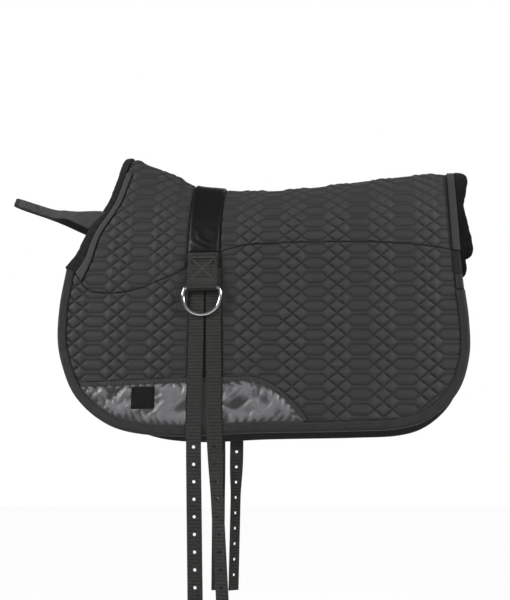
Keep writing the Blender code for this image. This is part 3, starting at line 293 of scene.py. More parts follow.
def smooth_line(points, along=1.0, up=1.0):
    """A function that reads the smooth line through points given as shares of two sizes."""
    places, values = (np.array(points) * (along, up)).T
    slopes = np.empty_like(values)
    slopes[1:-1] = (values[2:] - values[:-2]) / (places[2:] - places[:-2])
    slopes[0] = (values[1] - values[0]) / (places[1] - places[0])
    slopes[-1] = (values[-1] - values[-2]) / (places[-1] - places[-2])

    def read(place):
        place = np.clip(place, places[0], places[-1])
        at = np.clip(np.searchsorted(places, place, side="right") - 1, 0, len(places) - 2)
        span = places[at + 1] - places[at]
        t = (place - places[at]) / span
        rest = 1 - t
        return (values[at] * rest ** 2 * (1 + 2 * t) + values[at + 1] * t ** 2 * (3 - 2 * t)
                + slopes[at] * span * t * rest ** 2 - slopes[at + 1] * span * t ** 2 * rest)
    return read


spine_rise = smooth_line(SPINE, PAD_LENGTH, WITHER_RISE)
seam_drop = smooth_line(SEAM, PAD_LENGTH, PAD_DROP)
front_edge = smooth_line(FRONT_EDGE, 1.0, PAD_LENGTH)
rear_edge = smooth_line(REAR_EDGE, 1.0, PAD_LENGTH)
SEAM_FRONT, SEAM_REAR = float(front_edge(1.0)), float(rear_edge(1.0))


def eased(share):
    t = np.clip(share, 0, 1)
    return t * t * (3 - 2 * t)


def half_width(z):
    return SEAM_HALF_WIDTH - FLAP_SLOPE * (z + SEAM_DROP)


def near_seat(x, way):
    """Outer face of the seat's near half: way 0 on the spine, 1 at the seam."""
    turn = np.clip(way, 0, 1) * pi / 2
    top = SPINE_STACK + spine_rise(x)
    z = top - (top + seam_drop(x)) * (1 - np.cos(turn))
    return np.stack([x + 0 * z, -half_width(z) * np.sin(turn), z], -1)


def near_seat_outward(x, way):
    along = near_seat(x + NUDGE, way) - near_seat(x - NUDGE, way)
    up = near_seat(x, np.minimum(way, 1) - NUDGE) - near_seat(x, np.minimum(way + NUDGE, 1))
    up[..., 1] = np.where(way < NUDGE, near_seat(x, NUDGE)[..., 1] * -1, up[..., 1])
    return unit(np.cross(along, up))


TABLE_X = np.linspace(-0.36, 0.40, 381)
TABLE_WAY = np.linspace(0, 1, 201)


def make_rise_tables():
    """Height up the cloth over every place of the seat, and the way back from it."""
    points = near_seat(TABLE_X[:, None], TABLE_WAY[None, :])
    steps = np.linalg.norm(np.diff(points, axis=1), axis=-1)
    arc = np.zeros(points.shape[:2])
    arc[:, :-1] = np.cumsum(steps[:, ::-1], axis=1)[:, ::-1]
    shares = np.linspace(0, 1, 201)
    back = np.array([np.interp(shares * row[0], row[::-1], TABLE_WAY[::-1]) for row in arc])
    return arc, back


SEAT_ARC, SEAT_BACK = make_rise_tables()


def read_table(table, x, share):
    """A table over TABLE_X and even shares from 0 to 1, read between its places."""
    column = np.clip((x - TABLE_X[0]) / (TABLE_X[1] - TABLE_X[0]), 0, len(TABLE_X) - 1.001)
    row = np.clip(share, 0, 1) * (table.shape[1] - 1.001)
    i, j = column.astype(int), row.astype(int)
    s, t = column - i, row - j
    return ((table[i, j] * (1 - t) + table[i, j + 1] * t) * (1 - s)
            + (table[i + 1, j] * (1 - t) + table[i + 1, j + 1] * t) * s)


def rise_at(x, way):
    """How high a place of the seat lies up the cloth: level with z at the seam."""
    x, way = np.broadcast_arrays(np.asarray(x, float), np.asarray(way, float))
    return read_table(SEAT_ARC, x, way) - seam_drop(x)


def way_at(x, rise):
    whole = read_table(SEAT_ARC, x, np.zeros_like(x))
    return read_table(SEAT_BACK, x, (rise + seam_drop(x)) / whole)


def seat_place(x, rise, out=0.0):
    """A place of the seat's cloth, with a height over the cover's outer face."""
    way = way_at(x, rise)
    return near_seat(x, way) + near_seat_outward(x, way) * np.reshape(out + 0 * x, (-1, 1))


def patchy(x, y, size, seed):
    """Soft unevenness from -1 to 1, with lumps of about a size."""
    lattice = np.random.default_rng(seed).random((96, 96)) * 2 - 1
    u, v = np.asarray(x) / size + 40, np.asarray(y) / size + 40
    i, j = np.floor(u).astype(int), np.floor(v).astype(int)
    s, t = eased(u - i), eased(v - j)
    a, b = lattice[i % 96, j % 96], lattice[(i + 1) % 96, j % 96]
    c, d = lattice[i % 96, (j + 1) % 96], lattice[(i + 1) % 96, (j + 1) % 96]
    return (a * (1 - s) + b * s) * (1 - t) + (c * (1 - s) + d * s) * t


def flap_wave(x, z):
    """The soft waviness of a hanging flap, which dies out beside the seam and the billets."""
    clear = eased((-seam_drop(x) - z) / 0.08) * eased((np.abs(x - STRAP_PLACE) - 0.034) / 0.05)
    return WAVE_HEIGHT * patchy(x, z, WAVE_SIZE, 3) * clear


def flap_place(x, z, out=0.0):
    """A place on the near flap, with a height over its cover."""
    level = np.reshape(out + flap_wave(x, z), (-1, 1))
    return np.stack([x, -half_width(z), z], -1) + OUTWARD * level


# Quilting

def quilt_reach(x):
    """How far a place lies into the column of diamonds, from 0 on a band to its whole width."""
    along = np.mod(x - FIRST_BAND + QUILT_BAND / 2, QUILT_PERIOD)
    return np.clip(along - QUILT_BAND, 0, QUILT_COLUMN)


def quilt_distance(x, rise):
    """Distance from a place on the cover to the nearest line of quilting."""
    reach = quilt_reach(x)
    half = QUILT_PITCH / 2
    level = rise - QUILT_PHASE + QUILT_TILT * x
    up = np.abs(np.mod(level - QUILT_PAIR / 2 - QUILT_SLOPE * reach + half, QUILT_PITCH) - half)
    down = np.abs(np.mod(level + QUILT_PAIR / 2 + QUILT_SLOPE * reach + half, QUILT_PITCH) - half)
    into = eased((np.minimum(reach, QUILT_COLUMN - reach)) / 0.003)
    return np.minimum(up, down) * (1 + (1 / QUILT_LEAN - 1) * into)


def quilt_points(low, high, step):
    """Places along all the lines of quilting within a box."""
    found = []
    bands = np.arange(-1, 10) * QUILT_PERIOD + FIRST_BAND
    rows = np.arange(np.floor(low[1] / QUILT_PITCH) - 4, np.ceil(high[1] / QUILT_PITCH) + 4)
    levels = rows * QUILT_PITCH + QUILT_PHASE
    across = np.arange(-QUILT_BAND / 2, QUILT_BAND / 2, step)
    reach = np.linspace(0, QUILT_COLUMN, round(QUILT_COLUMN * QUILT_LEAN / step) // 2 * 2 + 1)
    for band in bands:
        for turn in (1, -1):
            flat = np.meshgrid(across, levels + turn * QUILT_PAIR / 2)
            found.append(np.stack([flat[0] + band, flat[1]], -1).reshape(-1, 2))
            lean = np.meshgrid(reach, levels + turn * QUILT_PAIR / 2)
            found.append(np.stack([lean[0] + band + QUILT_BAND / 2,
                                   lean[1] + turn * QUILT_SLOPE * lean[0]], -1).reshape(-1, 2))
    points = np.concatenate(found)
    points[:, 1] -= QUILT_TILT * points[:, 0]
    inside = np.all((points > low) & (points < high), axis=1)
    return thinned(points[inside], step * 0.45)


def thinned(points, cell):
    """The points with at most one left in each small square."""
    keys = np.round(points / cell).astype(int)
    _, first = np.unique(keys, axis=0, return_index=True)
    return points[np.sort(first)]


def quilt_height(x, rise, relief):
    """How far the cover puffs out between the lines of quilting."""
    away = quilt_distance(x, rise)
    reach = quilt_reach(x)
    pillow = 1 - (1 - np.clip(away / PUFF_REACH, 0, 1)) ** 2.1
    pillow = pillow * (0.5 + 0.5 * eased(np.minimum(reach, QUILT_COLUMN - reach) / 0.012))
    uneven = 1 + 0.22 * patchy(x, rise, 0.045, 11) + 0.12 * patchy(x, rise, 0.012, 12)
    pucker = patchy(x, rise, 0.0042, 13) * np.exp(-away / 0.003) * 0.10
    return relief * (pillow * uneven + pucker * eased(away / 0.0015))


# Flat layouts of cloth

def curve_through(points, step):
    """Places about a step apart on a smooth curve through a few chosen points."""
    points = np.asarray(points, float)
    drawn = []
    for k in range(len(points) - 1):
        p1, p2 = points[k], points[k + 1]
        p0 = points[k - 1] if k else p1 * 2 - p2
        p3 = points[k + 2] if k + 2 < len(points) else p2 * 2 - p1
        count = max(1, round(np.linalg.norm(p2 - p1) / step))
        t = (np.arange(count) / count)[:, None]
        drawn.append((p1 * 2 + (p2 - p0) * t + (p0 * 2 - p1 * 5 + p2 * 4 - p3) * t ** 2
                      + (p1 * 3 - p0 - p2 * 3 + p3) * t ** 3) / 2)
    drawn.append(points[-1:])
    return np.concatenate(drawn)


def offset_line(line, distance, closed=False):
    """A line to the left of another, at an even distance from it."""
    if closed:
        back, ahead = line - np.roll(line, 1, 0), np.roll(line, -1, 0) - line
    else:
        run = np.diff(line, axis=0)
        back, ahead = np.vstack([run[:1], run]), np.vstack([run, run[-1:]])
    sides = [unit(np.stack([-r[:, 1], r[:, 0]], -1)) for r in (back, ahead)]
    middle = unit(sides[0] + sides[1])
    return line + middle * distance / np.sum(middle * sides[1], axis=1, keepdims=True)


def distance_to(points, line, closed=False):
    """Distance from each point to the nearest stretch of a line."""
    best = np.full(len(points), 9.0)
    ends = np.roll(line, -1, 0) if closed else line[1:]
    for start, end in zip(line, ends):
        run = end - start
        t = np.clip((points - start) @ run / max(run @ run, 1e-12), 0, 1)
        best = np.minimum(best, np.linalg.norm(points - start - t[:, None] * run, axis=1))
    return best


def is_inside(points, outline):
    crossed = np.zeros(len(points), bool)
    for (x0, y0), (x1, y1) in zip(outline, np.roll(outline, -1, 0)):
        spans = (y0 > points[:, 1]) != (y1 > points[:, 1])
        if spans.any():
            at = x0 + (points[:, 1] - y0) * (x1 - x0) / (y1 - y0 if y1 != y0 else 1e-12)
            crossed ^= spans & (points[:, 0] < at)
    return crossed


def counter_clockwise(outline):
    outline = np.asarray(outline, float)
    x, y = outline.T
    turned = np.sum(x * np.roll(y, -1) - y * np.roll(x, -1)) < 0
    return outline[::-1] if turned else outline


class Layout:
    """A flat piece of cloth as triangles: points, triangles, the rims' points and the room that
    each point has to the nearest rim. A quilted piece has rows of points on its lines."""

    def __init__(self, outline, step, holes=(), lines=None, rims=()):
        rim_loops = [counter_clockwise(outline)] + [counter_clockwise(h)[::-1] for h in holes]
        low, high = rim_loops[0].min(0), rim_loops[0].max(0)
        rows = np.arange(low[1], high[1], step * 0.866)
        grid = []
        for k, y in enumerate(rows):
            row = np.arange(low[0] + step / 2 * (k % 2), high[0], step)
            grid.append(np.stack([row, np.full(len(row), y)], -1))
        inner = np.concatenate(grid)
        if lines is not None:
            clear = quilt_distance(*inner.T) > step * LINE_ROOM
            inner = np.concatenate([inner[clear], lines])
        deepest = max(rims, default=0.0)
        inner = inner[is_inside(inner, rim_loops[0])]
        for hole in rim_loops[1:]:
            inner = inner[~is_inside(inner, hole)]
        inner = inner[self.room_of(inner, rim_loops) > deepest + step * 0.45]
        rim_points = [offset_line(loop, depth, True) for loop in rim_loops for depth in rims]
        flat = np.concatenate(rim_loops + rim_points + [inner])
        edges, start = [], 0
        for loop in rim_loops:
            edges += [(start + k, start + (k + 1) % len(loop)) for k in range(len(loop))]
            start += len(loop)
        made = geometry.delaunay_2d_cdt([Vector(p) for p in flat], edges, [], 0, 1e-7)
        self.points = np.array([tuple(p) for p in made[0]])
        faces = np.array([f for f in made[2] if len(f) == 3])
        middles = self.points[faces].mean(1)
        inside = is_inside(middles, rim_loops[0])
        for hole in rim_loops[1:]:
            inside &= ~is_inside(middles, hole)
        self.faces = faces[inside]
        spots = {source: k for k, sources in enumerate(made[3]) for source in sources}
        self.rims, start = [], 0
        for loop in rim_loops:
            self.rims.append([spots[start + k] for k in range(len(loop))])
            start += len(loop)
        self.room = self.room_of(self.points, rim_loops)

    @staticmethod
    def room_of(points, loops):
        return np.min([distance_to(points, loop, True) for loop in loops], axis=0)


def shell(top, high, bottom, low):
    """Points, faces and lie of a closed piece: two layouts on the same rims, put in place as
    the arrays high and low."""
    faces = [tuple(f) for f in top.faces]
    count = len(top.points)
    faces += [tuple(count + k for k in reversed(f)) for f in bottom.faces.tolist()]
    for over, under in zip(top.rims, bottom.rims):
        for k in range(len(over)):
            a, b = over[k], over[(k + 1) % len(over)]
            c, d = under[k] + count, under[(k + 1) % len(under)] + count
            faces.append((b, a, c, d))
    lie = np.concatenate([top.points, bottom.points])
    return np.concatenate([high, low]), faces, lie


def rounded(room, thickness):
    """Share of its thickness that a flat piece keeps so near its rim."""
    return 0.3 + 0.7 * np.sqrt(1 - (1 - np.clip(room / (thickness * 0.7), 0, 1)) ** 2)


# Pieces

def place_mesh(name, points, faces, lie, extra=None):
    mesh = bpy.data.meshes.new(name)
    mesh.from_pydata(np.asarray(points).tolist(), [], [list(map(int, f)) for f in faces])
    marks = mesh.attributes.new("lie", "FLOAT_VECTOR", "POINT")
    third = np.zeros(len(points)) if extra is None else extra
    marks.data.foreach_set("vector", np.column_stack([lie, third]).astype(np.float32).ravel())
    mesh.validate()
    piece = bpy.data.objects.new(name, mesh)
    bpy.context.collection.objects.link(piece)
    return piece


def select_only(piece):
    bpy.ops.object.select_all(action="DESELECT")
    piece.select_set(True)
    bpy.context.view_layer.objects.active = piece


def finish_piece(piece, finish, body, replaced=(), angle=50.0):
    """Shade and dress a piece, and let it ride on its body where it has only one."""
    select_only(piece)
    bpy.ops.object.shade_smooth_by_angle(angle=radians(angle))
    piece.data.materials.clear()
    piece.data.materials.append(bpy.data.materials[finish])
    if body:
        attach(piece, body)
    if replaced:
        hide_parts(*replaced)


def flipped(points, faces):
    """The same shape for the far side of the horse."""
    return points * (1, -1, 1), [tuple(reversed(f)) for f in faces]


def on_both_sides(name, shape, finish, replaced, extra=None, angle=50.0, folds=False,
                  seat=False):
    """A near and a far piece, each riding on its own flap, or baked in place where it would fold
    with it. Pieces of the seat are its two halves, baked in place, and both stand for the same nodes."""
    pieces = []
    for side in SIDES:
        points, faces, lie = shape
        if side == "far":
            points, faces = flipped(points, faces)
        piece = place_mesh(f"{side}_{name}", points, faces, lie, extra)
        if seat:
            face_outwards(piece)
        nodes = replaced if seat else [f"{side}_{node}" for node in replaced]
        bent = folds or seat
        finish_piece(piece, finish, None if bent else side + "_flap", nodes, angle)
        pieces.append(fold_with_flap(piece, side) if bent else piece)
    return pieces


def fold_with_flap(piece, side):
    """Bake the piece's place into its mesh; the fold along the level line where its flap lifts is not
    made.
    """
    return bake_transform(piece, "seat", side + "_flap", start=(0, 0, FOLD_TOP), end=(0, 0, FOLD_FOOT))


def bend_at_root(piece):
    """Bake the handle's place into its mesh; its bend over its first stretch in front of the roll is
    not made.
    """
    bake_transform(piece)


def tube(sections, lengths):
    """A body through a row of closed sections with equal numbers of points."""
    sections = np.asarray(sections)
    rows, count = sections.shape[:2]
    faces = []
    for k in range(rows - 1):
        for j in range(count):
            a, b = k * count + j, k * count + (j + 1) % count
            faces.append((a, b, b + count, a + count))
    faces.append(tuple(reversed(range(count))))
    faces.append(tuple(range((rows - 1) * count, rows * count)))
    ring = np.concatenate([sections, sections[:, :1]], 1)
    girth = np.linalg.norm(np.diff(ring, axis=1), axis=-1)
    across = np.concatenate([np.zeros((rows, 1)), np.cumsum(girth, 1)[:, :-1]], 1)
    lie = np.stack([across, np.repeat(np.asarray(lengths)[:, None], count, 1)], -1)
    return sections.reshape(-1, 3), faces, lie.reshape(-1, 2)


def face_outwards(piece):
    edit = bmesh.new()
    edit.from_mesh(piece.data)
    bmesh.ops.recalc_face_normals(edit, faces=edit.faces[:])
    edit.to_mesh(piece.data)
    edit.free()


# Stitching

def stitch_shape(length, radius, sides=5):
    """One stitch: a short rounded thread whose ends dip into the cloth."""
    shares = np.array([-1.0, -0.7, 0.0, 0.7, 1.0])
    girth = np.array([0.35, 0.9, 1.0, 0.9, 0.35]) * radius
    turns = np.arange(sides) / sides * 2 * pi
    rings = [np.stack([np.full(sides, s * length / 2), g * np.cos(turns),
                       g * np.sin(turns) - radius * 1.3 * s * s], -1)
             for s, g in zip(shares, girth)]
    faces = [(k * sides + j, k * sides + (j + 1) % sides, (k + 1) * sides + (j + 1) % sides,
              (k + 1) * sides + j) for k in range(4) for j in range(sides)]
    faces += [tuple(reversed(range(sides))), tuple(range(4 * sides, 5 * sides))]
    return np.concatenate(rings), faces


def stitch_rows(name, rows, body, finish="thread", pitch=0.0034, length=0.0026, radius=0.00028,
                mirror=False):
    """Rows of stitches. A row is a placing function, its flat line and its level."""
    shape, shape_faces = stitch_shape(length, radius)
    points, faces, start = [], [], 0
    for place, line, level in rows:
        line = np.asarray(line, float)
        fine = np.concatenate([np.linspace(a, b, 24, endpoint=False)
                               for a, b in zip(line, line[1:])] + [line[-1:]])
        spots = place(fine[:, 0], fine[:, 1], level)
        ups = place(fine[:, 0], fine[:, 1], level + 0.001) - spots
        run = run_along(spots)
        count = int(run[-1] / pitch)
        if count < 1:
            continue
        at = (np.arange(count) + 0.5) * run[-1] / count
        centre = read_along(at, run, spots)
        ahead = unit(read_along(at + length / 2, run, spots)
                     - read_along(at - length / 2, run, spots))
        up = read_along(at, run, ups)
        up = unit(up - ahead * np.sum(up * ahead, axis=1, keepdims=True))
        side = np.cross(up, ahead)
        for c, a, s, u in zip(centre, ahead, side, up):
            points.append(c + shape[:, :1] * a + shape[:, 1:2] * s + shape[:, 2:] * u)
            faces += [tuple(start + k for k in f) for f in shape_faces]
            start += len(shape)
    points = np.concatenate(points)
    if mirror:
        points, faces = flipped(points, faces)
    piece = place_mesh(name, points, faces, points[:, ::2])
    finish_piece(piece, finish, None if body in BENT else body)
    if body == "seat":
        fold_with_flap(piece, name.split("_")[0])
    elif body == "grab_handle":
        bend_at_root(piece)


def stitch_both_sides(name, rows, body=None, **kind):
    for side in SIDES:
        stitch_rows(f"{side}_{name}", rows, body or side + "_flap", mirror=side == "far", **kind)


# Strips of webbing

class Strip:
    """A strip of webbing along a centreline: places on it are (across, along, height)."""

    def __init__(self, middles, across, width, thickness):
        self.middles = np.asarray(middles, float)
        self.across = np.asarray(across, float) + 0 * self.middles
        self.run = run_along(self.middles)
        self.out = unit(np.cross(np.gradient(self.middles, self.run, axis=0), self.across))
        self.width, self.thickness, self.length = width, thickness, self.run[-1]

    def place(self, across, along, out=0.0):
        middle, side, up = (read_along(along, self.run, table)
                            for table in (self.middles, self.across, self.out))
        return (middle + side * np.reshape(across, (-1, 1))
                + up * np.reshape(out + 0 * along, (-1, 1)))

    def at_drop(self, drop):
        """Distance along the strip to where it has come down so far."""
        return np.interp(drop, -self.middles[:, 2], self.run)

    def outline(self, step, half):
        """The strip's flat outline; half gives half its width along it."""
        along = np.linspace(0, self.length, max(3, round(self.length / step)))
        wide = np.full(len(along), self.width / 2) if half is None else half(along)
        edge = np.linspace(-1, 1, 9)[1:-1]
        start = np.stack([edge * wide[0], np.zeros(7)], -1)
        end = np.stack([-edge * wide[-1], np.full(7, self.length)], -1)
        return np.concatenate([start, np.stack([wide, along], -1), end,
                               np.stack([-wide, along], -1)[::-1]])

    def body(self, step, holes=(), half=None):
        rims = (self.thickness * 0.2, self.thickness * 0.6)
        layout = Layout(self.outline(step, half), step, holes, rims=rims)
        depth = rounded(layout.room, self.thickness) * self.thickness / 2
        high = self.place(*layout.points.T, depth)
        low = self.place(*layout.points.T, -depth)
        return shell(layout, high, layout, low)


def circle(middle, radius, sides=16):
    turns = np.arange(sides) / sides * 2 * pi
    return np.stack([np.cos(turns), np.sin(turns)], -1) * radius + middle


# Materials

class Value:
    """A socket among a material's nodes, used like a number."""

    def __init__(self, maker, socket):
        self.maker = maker
        self.socket = socket

    def combined(self, operation, *others):
        return self.maker.node("ShaderNodeMath", dict(enumerate((self,) + others)),
                               operation=operation)

    __add__ = __radd__ = partialmethod(combined, "ADD")
    __sub__ = partialmethod(combined, "SUBTRACT")
    __mul__ = __rmul__ = partialmethod(combined, "MULTIPLY")
    __truediv__ = partialmethod(combined, "DIVIDE")
    __pow__ = partialmethod(combined, "POWER")
    __abs__ = partialmethod(combined, "ABSOLUTE")
    lesser = partialmethod(combined, "MINIMUM")
    greater = partialmethod(combined, "MAXIMUM")
    sine = partialmethod(combined, "SINE")

    def __rsub__(self, other):
        return self.maker.node("ShaderNodeMath", {0: other, 1: self}, operation="SUBTRACT")

    def wrapped(self, low, high):
        return self.combined("WRAP", high, low)

    def smooth(self, low, high, start=0.0, end=1.0):
        """From start to end as the number goes from low to high."""
        return self.maker.node("ShaderNodeMapRange", {"Value": self, "From Min": low,
                               "From Max": high, "To Min": start, "To Max": end},
                               interpolation_type="SMOOTHSTEP")


class Nodes:
    """The nodes of a material or of the room, in the making."""

    def __init__(self, owner):
        owner.use_nodes = True
        self.tree = owner.node_tree

    def feed(self, socket, item):
        if isinstance(item, Value):
            self.tree.links.new(item.socket, socket)
        else:
            socket.default_value = item

    def node(self, kind, inputs=None, output=0, **settings):
        """Any node: its settings first, then what its sockets hold."""
        made = self.tree.nodes.new(kind)
        for name, setting in settings.items():
            setattr(made, name, setting)
        for name, item in (inputs or {}).items():
            self.feed(made.inputs[name], item)
        return Value(self, made.outputs[output])


class Finish(Nodes):
    """A material in the making."""

    def __init__(self, name):
        super().__init__(bpy.data.materials.new(name))
        self.shader = self.tree.nodes["Principled BSDF"]

    def lie(self):
        """Where the cloth lay flat: across or along, up, and the mesh's own third number."""
        flat = self.node("ShaderNodeAttribute", output="Vector", attribute_name="lie")
        return [self.node("ShaderNodeSeparateXYZ", {0: flat}, output=k) for k in range(3)]

    def place(self):
        return self.node("ShaderNodeTexCoord", output="Object")

    def vector(self, x, y):
        return self.node("ShaderNodeCombineXYZ", {0: x, 1: y})

    def cloudy(self, vector, size, detail, rough):
        """Noise from 0 to 1 with lumps of about a size."""
        return self.node("ShaderNodeTexNoise", {"Vector": vector, "Scale": 1 / size,
                         "Detail": detail, "Roughness": rough})

    def cells(self, vector, size):
        return self.node("ShaderNodeTexVoronoi", {"Vector": vector, "Scale": 1 / size},
                         output="Distance")

    def blend(self, share, one, other):
        """A colour between two, by a share."""
        one, other = (colour if isinstance(colour, Value) else (*colour, 1.0)
                      for colour in (one, other))
        return self.node("ShaderNodeMix", {"Factor": share, 6: one, 7: other}, output=2,
                         data_type="RGBA")

    def bump(self, height, depth):
        return self.node("ShaderNodeBump", {"Height": height, "Distance": depth, "Strength": 1.0})

    def done(self, **sockets):
        for name, item in sockets.items():
            self.feed(self.shader.inputs[name.replace("_", " ")], item)


def shade(colour, share):
    return tuple(min(1.0, c * share) for c in colour)


def plain_weave(across, along, thread):
    """Over and under of a plain weave, from 0 to 1."""
    turn = 2 * pi / thread
    wave = (across * turn).sine() * (along * turn).sine()
    return wave * 0.5 + 0.5


def cover_finish(colour, thread):
    """Quilted cotton: a fine weave with painted highlight on the puffs, painted shade in the grooves
    and beside sewn-on pieces, and stitching down every groove.
    """
    f = Finish("quilted_cover")
    x, rise, puff = f.lie()
    half = QUILT_PITCH / 2
    step = (x - (FIRST_BAND - QUILT_BAND / 2)).wrapped(0.0, QUILT_PERIOD)
    reach = (step - QUILT_BAND).greater(0.0)
    level = rise + x * QUILT_TILT - QUILT_PHASE
    up = abs((level - QUILT_PAIR / 2 - reach * QUILT_SLOPE).wrapped(-half, half))
    down = abs((level + QUILT_PAIR / 2 + reach * QUILT_SLOPE).wrapped(-half, half))
    leaning = reach.smooth(0.0, 0.003, 1.0, 1 / QUILT_LEAN)
    away = up.lesser(down) * leaning
    dash = (step / leaning / COVER_STITCH).wrapped(0.0, 1.0)
    open_unshaded = puff.smooth(-0.5, -0.4)
    threaded = away.smooth(0.00022, 0.00042, 1.0, 0.0) * dash.smooth(0.70, 0.78, 1.0, 0.0)
    threaded = threaded * open_unshaded
    hole = away.smooth(0.0003, 0.0006, 1.0, 0.0) * dash.smooth(0.74, 0.80) * open_unshaded
    groove = away.smooth(0.0, 0.0023, 1.0, 0.0) * open_unshaded
    weave = plain_weave(x, rise, COVER_THREAD)
    tone = f.cloudy(f.place(), 0.06, 3.0, 0.6)
    worn = f.cloudy(f.place(), 0.011, 3.0, 0.65)
    fine = f.cloudy(f.place(), 0.0042, 3.0, 0.7)
    # Painted highlight: paler up the puffs, mixed with random tone
    lifted = puff.smooth(0.0, 1.0) * 0.55 + tone * 0.24 + worn * 0.30 + fine * 0.24 - 0.08
    cloth = f.blend(lifted, shade(colour, 0.58), shade(colour, 1.42))
    # Painted shade down the grooves and in the needle holes
    cloth = f.blend(groove * 0.62, cloth, shade(colour, 0.34))
    cloth = f.blend(hole * 0.6, cloth, shade(colour, 0.25))
    cloth = f.blend(threaded, cloth, thread)
    # Painted shade where the cover is pressed beside or under the pieces sewn over it
    cloth = f.blend(open_unshaded * 0.8 + 0.2, shade(colour, 0.12), cloth)
    grain = f.cloudy(f.vector(x, rise), 0.0016, 3.0, 0.6)
    height = (weave * 0.10 + grain * 0.2 + fine * 0.7 + worn * 0.9 - groove * 1.0
              + threaded * 0.45 - hole * 0.5)
    rough = worn * 0.14 + 0.58
    f.done(Base_Color=cloth, Roughness=rough, Normal=f.bump(height, 0.00042), Sheen_Weight=0.10,
           Sheen_Roughness=0.5, Specular_IOR_Level=0.42)


def fleece_finish(name, colour):
    """Deep pile fleece: curled tufts in near black."""
    f = Finish(name)
    place = f.place()
    swirl = f.cloudy(place, 0.006, 4.0, 0.7)
    tufts = f.cells(place, 0.0028)
    fibres = f.cloudy(place, 0.0009, 4.0, 0.75)
    height = swirl * 0.7 + tufts * 0.35 + fibres * 0.35
    tone = swirl * 0.55 + fibres * 0.45
    pile = f.blend(tone.smooth(0.3, 0.75), shade(colour, 0.5), shade(colour, 2.3))
    f.done(Base_Color=pile, Roughness=0.95, Normal=f.bump(height, 0.0022), Sheen_Weight=0.10,
           Sheen_Roughness=0.4, Specular_IOR_Level=0.15)


def tape_finish(name, colour, rib, depth=0.00016, rough=0.62, bar=0.004, deep=0.0, inner=0.0):
    """Flat woven tape: fine cross ribs over lengthwise threads, with a deeper rib at every bar,
    which has painted shade, and painted shade, near black, past its inner fold where it has one."""
    f = Finish(name)
    across, along, _ = f.lie()
    ribs = (along * (2 * pi / rib)).sine() * 0.5 + 0.5
    lanes = (across * (2 * pi / (rib * 1.5))).sine() * 0.5 + 0.5
    dust = f.cloudy(f.place(), 0.012, 4.0, 0.65)
    drawn = f.cloudy(f.vector(across, along * 0.09), 0.0026, 3.0, 0.6)
    cloth = f.blend(ribs * 0.2 + lanes * 0.1 + dust * 0.3 + drawn * 0.4, shade(colour, 0.40),
                    shade(colour, 1.60))
    between = abs((along / bar).wrapped(0.0, 1.0) - 0.5) * 2.0
    rib_line = between.smooth(0.35, 0.85) * (dust * 0.6 + 0.6)
    # Painted shade in the deeper rib at every bar
    cloth = f.blend(rib_line * deep, cloth, shade(colour, 0.2))
    if inner:
        # Painted shade, near black, on the inside past the fold
        cloth = f.blend(across.smooth(inner - 0.002, inner + 0.002), cloth, shade(colour, 0.12))
    height = ribs * 0.65 + lanes * 0.35 + dust * 0.3 + drawn * 2.0 - rib_line * deep * 1.5
    f.done(Base_Color=cloth, Roughness=dust * 0.16 + (rough - 0.08),
           Normal=f.bump(height, depth), Sheen_Weight=0.12, Sheen_Roughness=0.5,
           Specular_IOR_Level=0.4)


def webbing_finish(name, colour, rib=0.0024, lane=0.0031, bar=0.0057, deep=0.85, tip=0.0):
    """Stout webbing: staggered floats in lengthwise lanes, with a deeper rib across at every bar,
    which has painted shade, and nearly black for a short way at its middle where it has a tip."""
    f = Finish(name)
    across, along, _ = f.lie()
    lane_turn = across / lane
    row = along / rib
    odd = (lane_turn - lane_turn.wrapped(0.0, 1.0)).wrapped(0.0, 2.0)
    floats = ((row + odd * 0.5).wrapped(0.0, 1.0) - 0.5) * 2.0
    float_top = 1.0 - abs(floats) ** 2.0
    lane_top = 1.0 - abs((lane_turn.wrapped(0.0, 1.0) - 0.5) * 2.0) ** 2.0
    knit = float_top * (lane_top * 0.6 + 0.4)
    fuzz = f.cloudy(f.place(), 0.0016, 3.0, 0.7)
    dust = f.cloudy(f.place(), 0.022, 3.0, 0.6)
    tone = knit * 0.45 + fuzz * 0.2 + dust * 0.35
    cloth = f.blend(tone, shade(colour, 0.42), shade(colour, 1.8))
    between = abs((along / bar).wrapped(0.0, 1.0) - 0.5) * 2.0
    rib_line = between.smooth(0.55, 0.92) * (fuzz * 0.5 + 0.7)
    # Painted shade in the deeper rib at every bar
    cloth = f.blend(rib_line * deep, cloth, shade(colour, 0.22))
    if tip:
        cap = abs(along).smooth(tip * 0.8, tip, 1.0, 0.0)
        cloth = f.blend(cap * 0.9, cloth, shade(colour, 0.08))
    f.done(Base_Color=cloth, Roughness=dust * 0.16 + 0.49,
           Normal=f.bump(knit + fuzz * 0.25 - rib_line * deep * 1.4, 0.00055),
           Sheen_Weight=0.08, Sheen_Roughness=0.45, Specular_IOR_Level=0.5)


def strap_finish(colour):
    """Smooth, close webbing with a waxy gloss, lightly marked by use."""
    f = Finish("smooth_strap")
    across, along, _ = f.lie()
    lines = (across * (2 * pi / 0.0022)).sine() * 0.5 + 0.5
    rows = (along * (2 * pi / 0.0013)).sine() * 0.5 + 0.5
    marks = f.cloudy(f.place(), 0.03, 4.0, 0.6)
    rub = f.cloudy(f.vector(across, along * 6.0), 0.012, 4.0, 0.6)
    cloth = f.blend(marks * 0.6 + rub * 0.4, shade(colour, 0.6), shade(colour, 1.5))
    f.done(Base_Color=cloth, Roughness=marks * 0.22 + rub * 0.12 + 0.24,
           Normal=f.bump(lines * 0.6 + rows * 0.3 + rub * 0.4, 0.00012),
           Specular_IOR_Level=0.45)


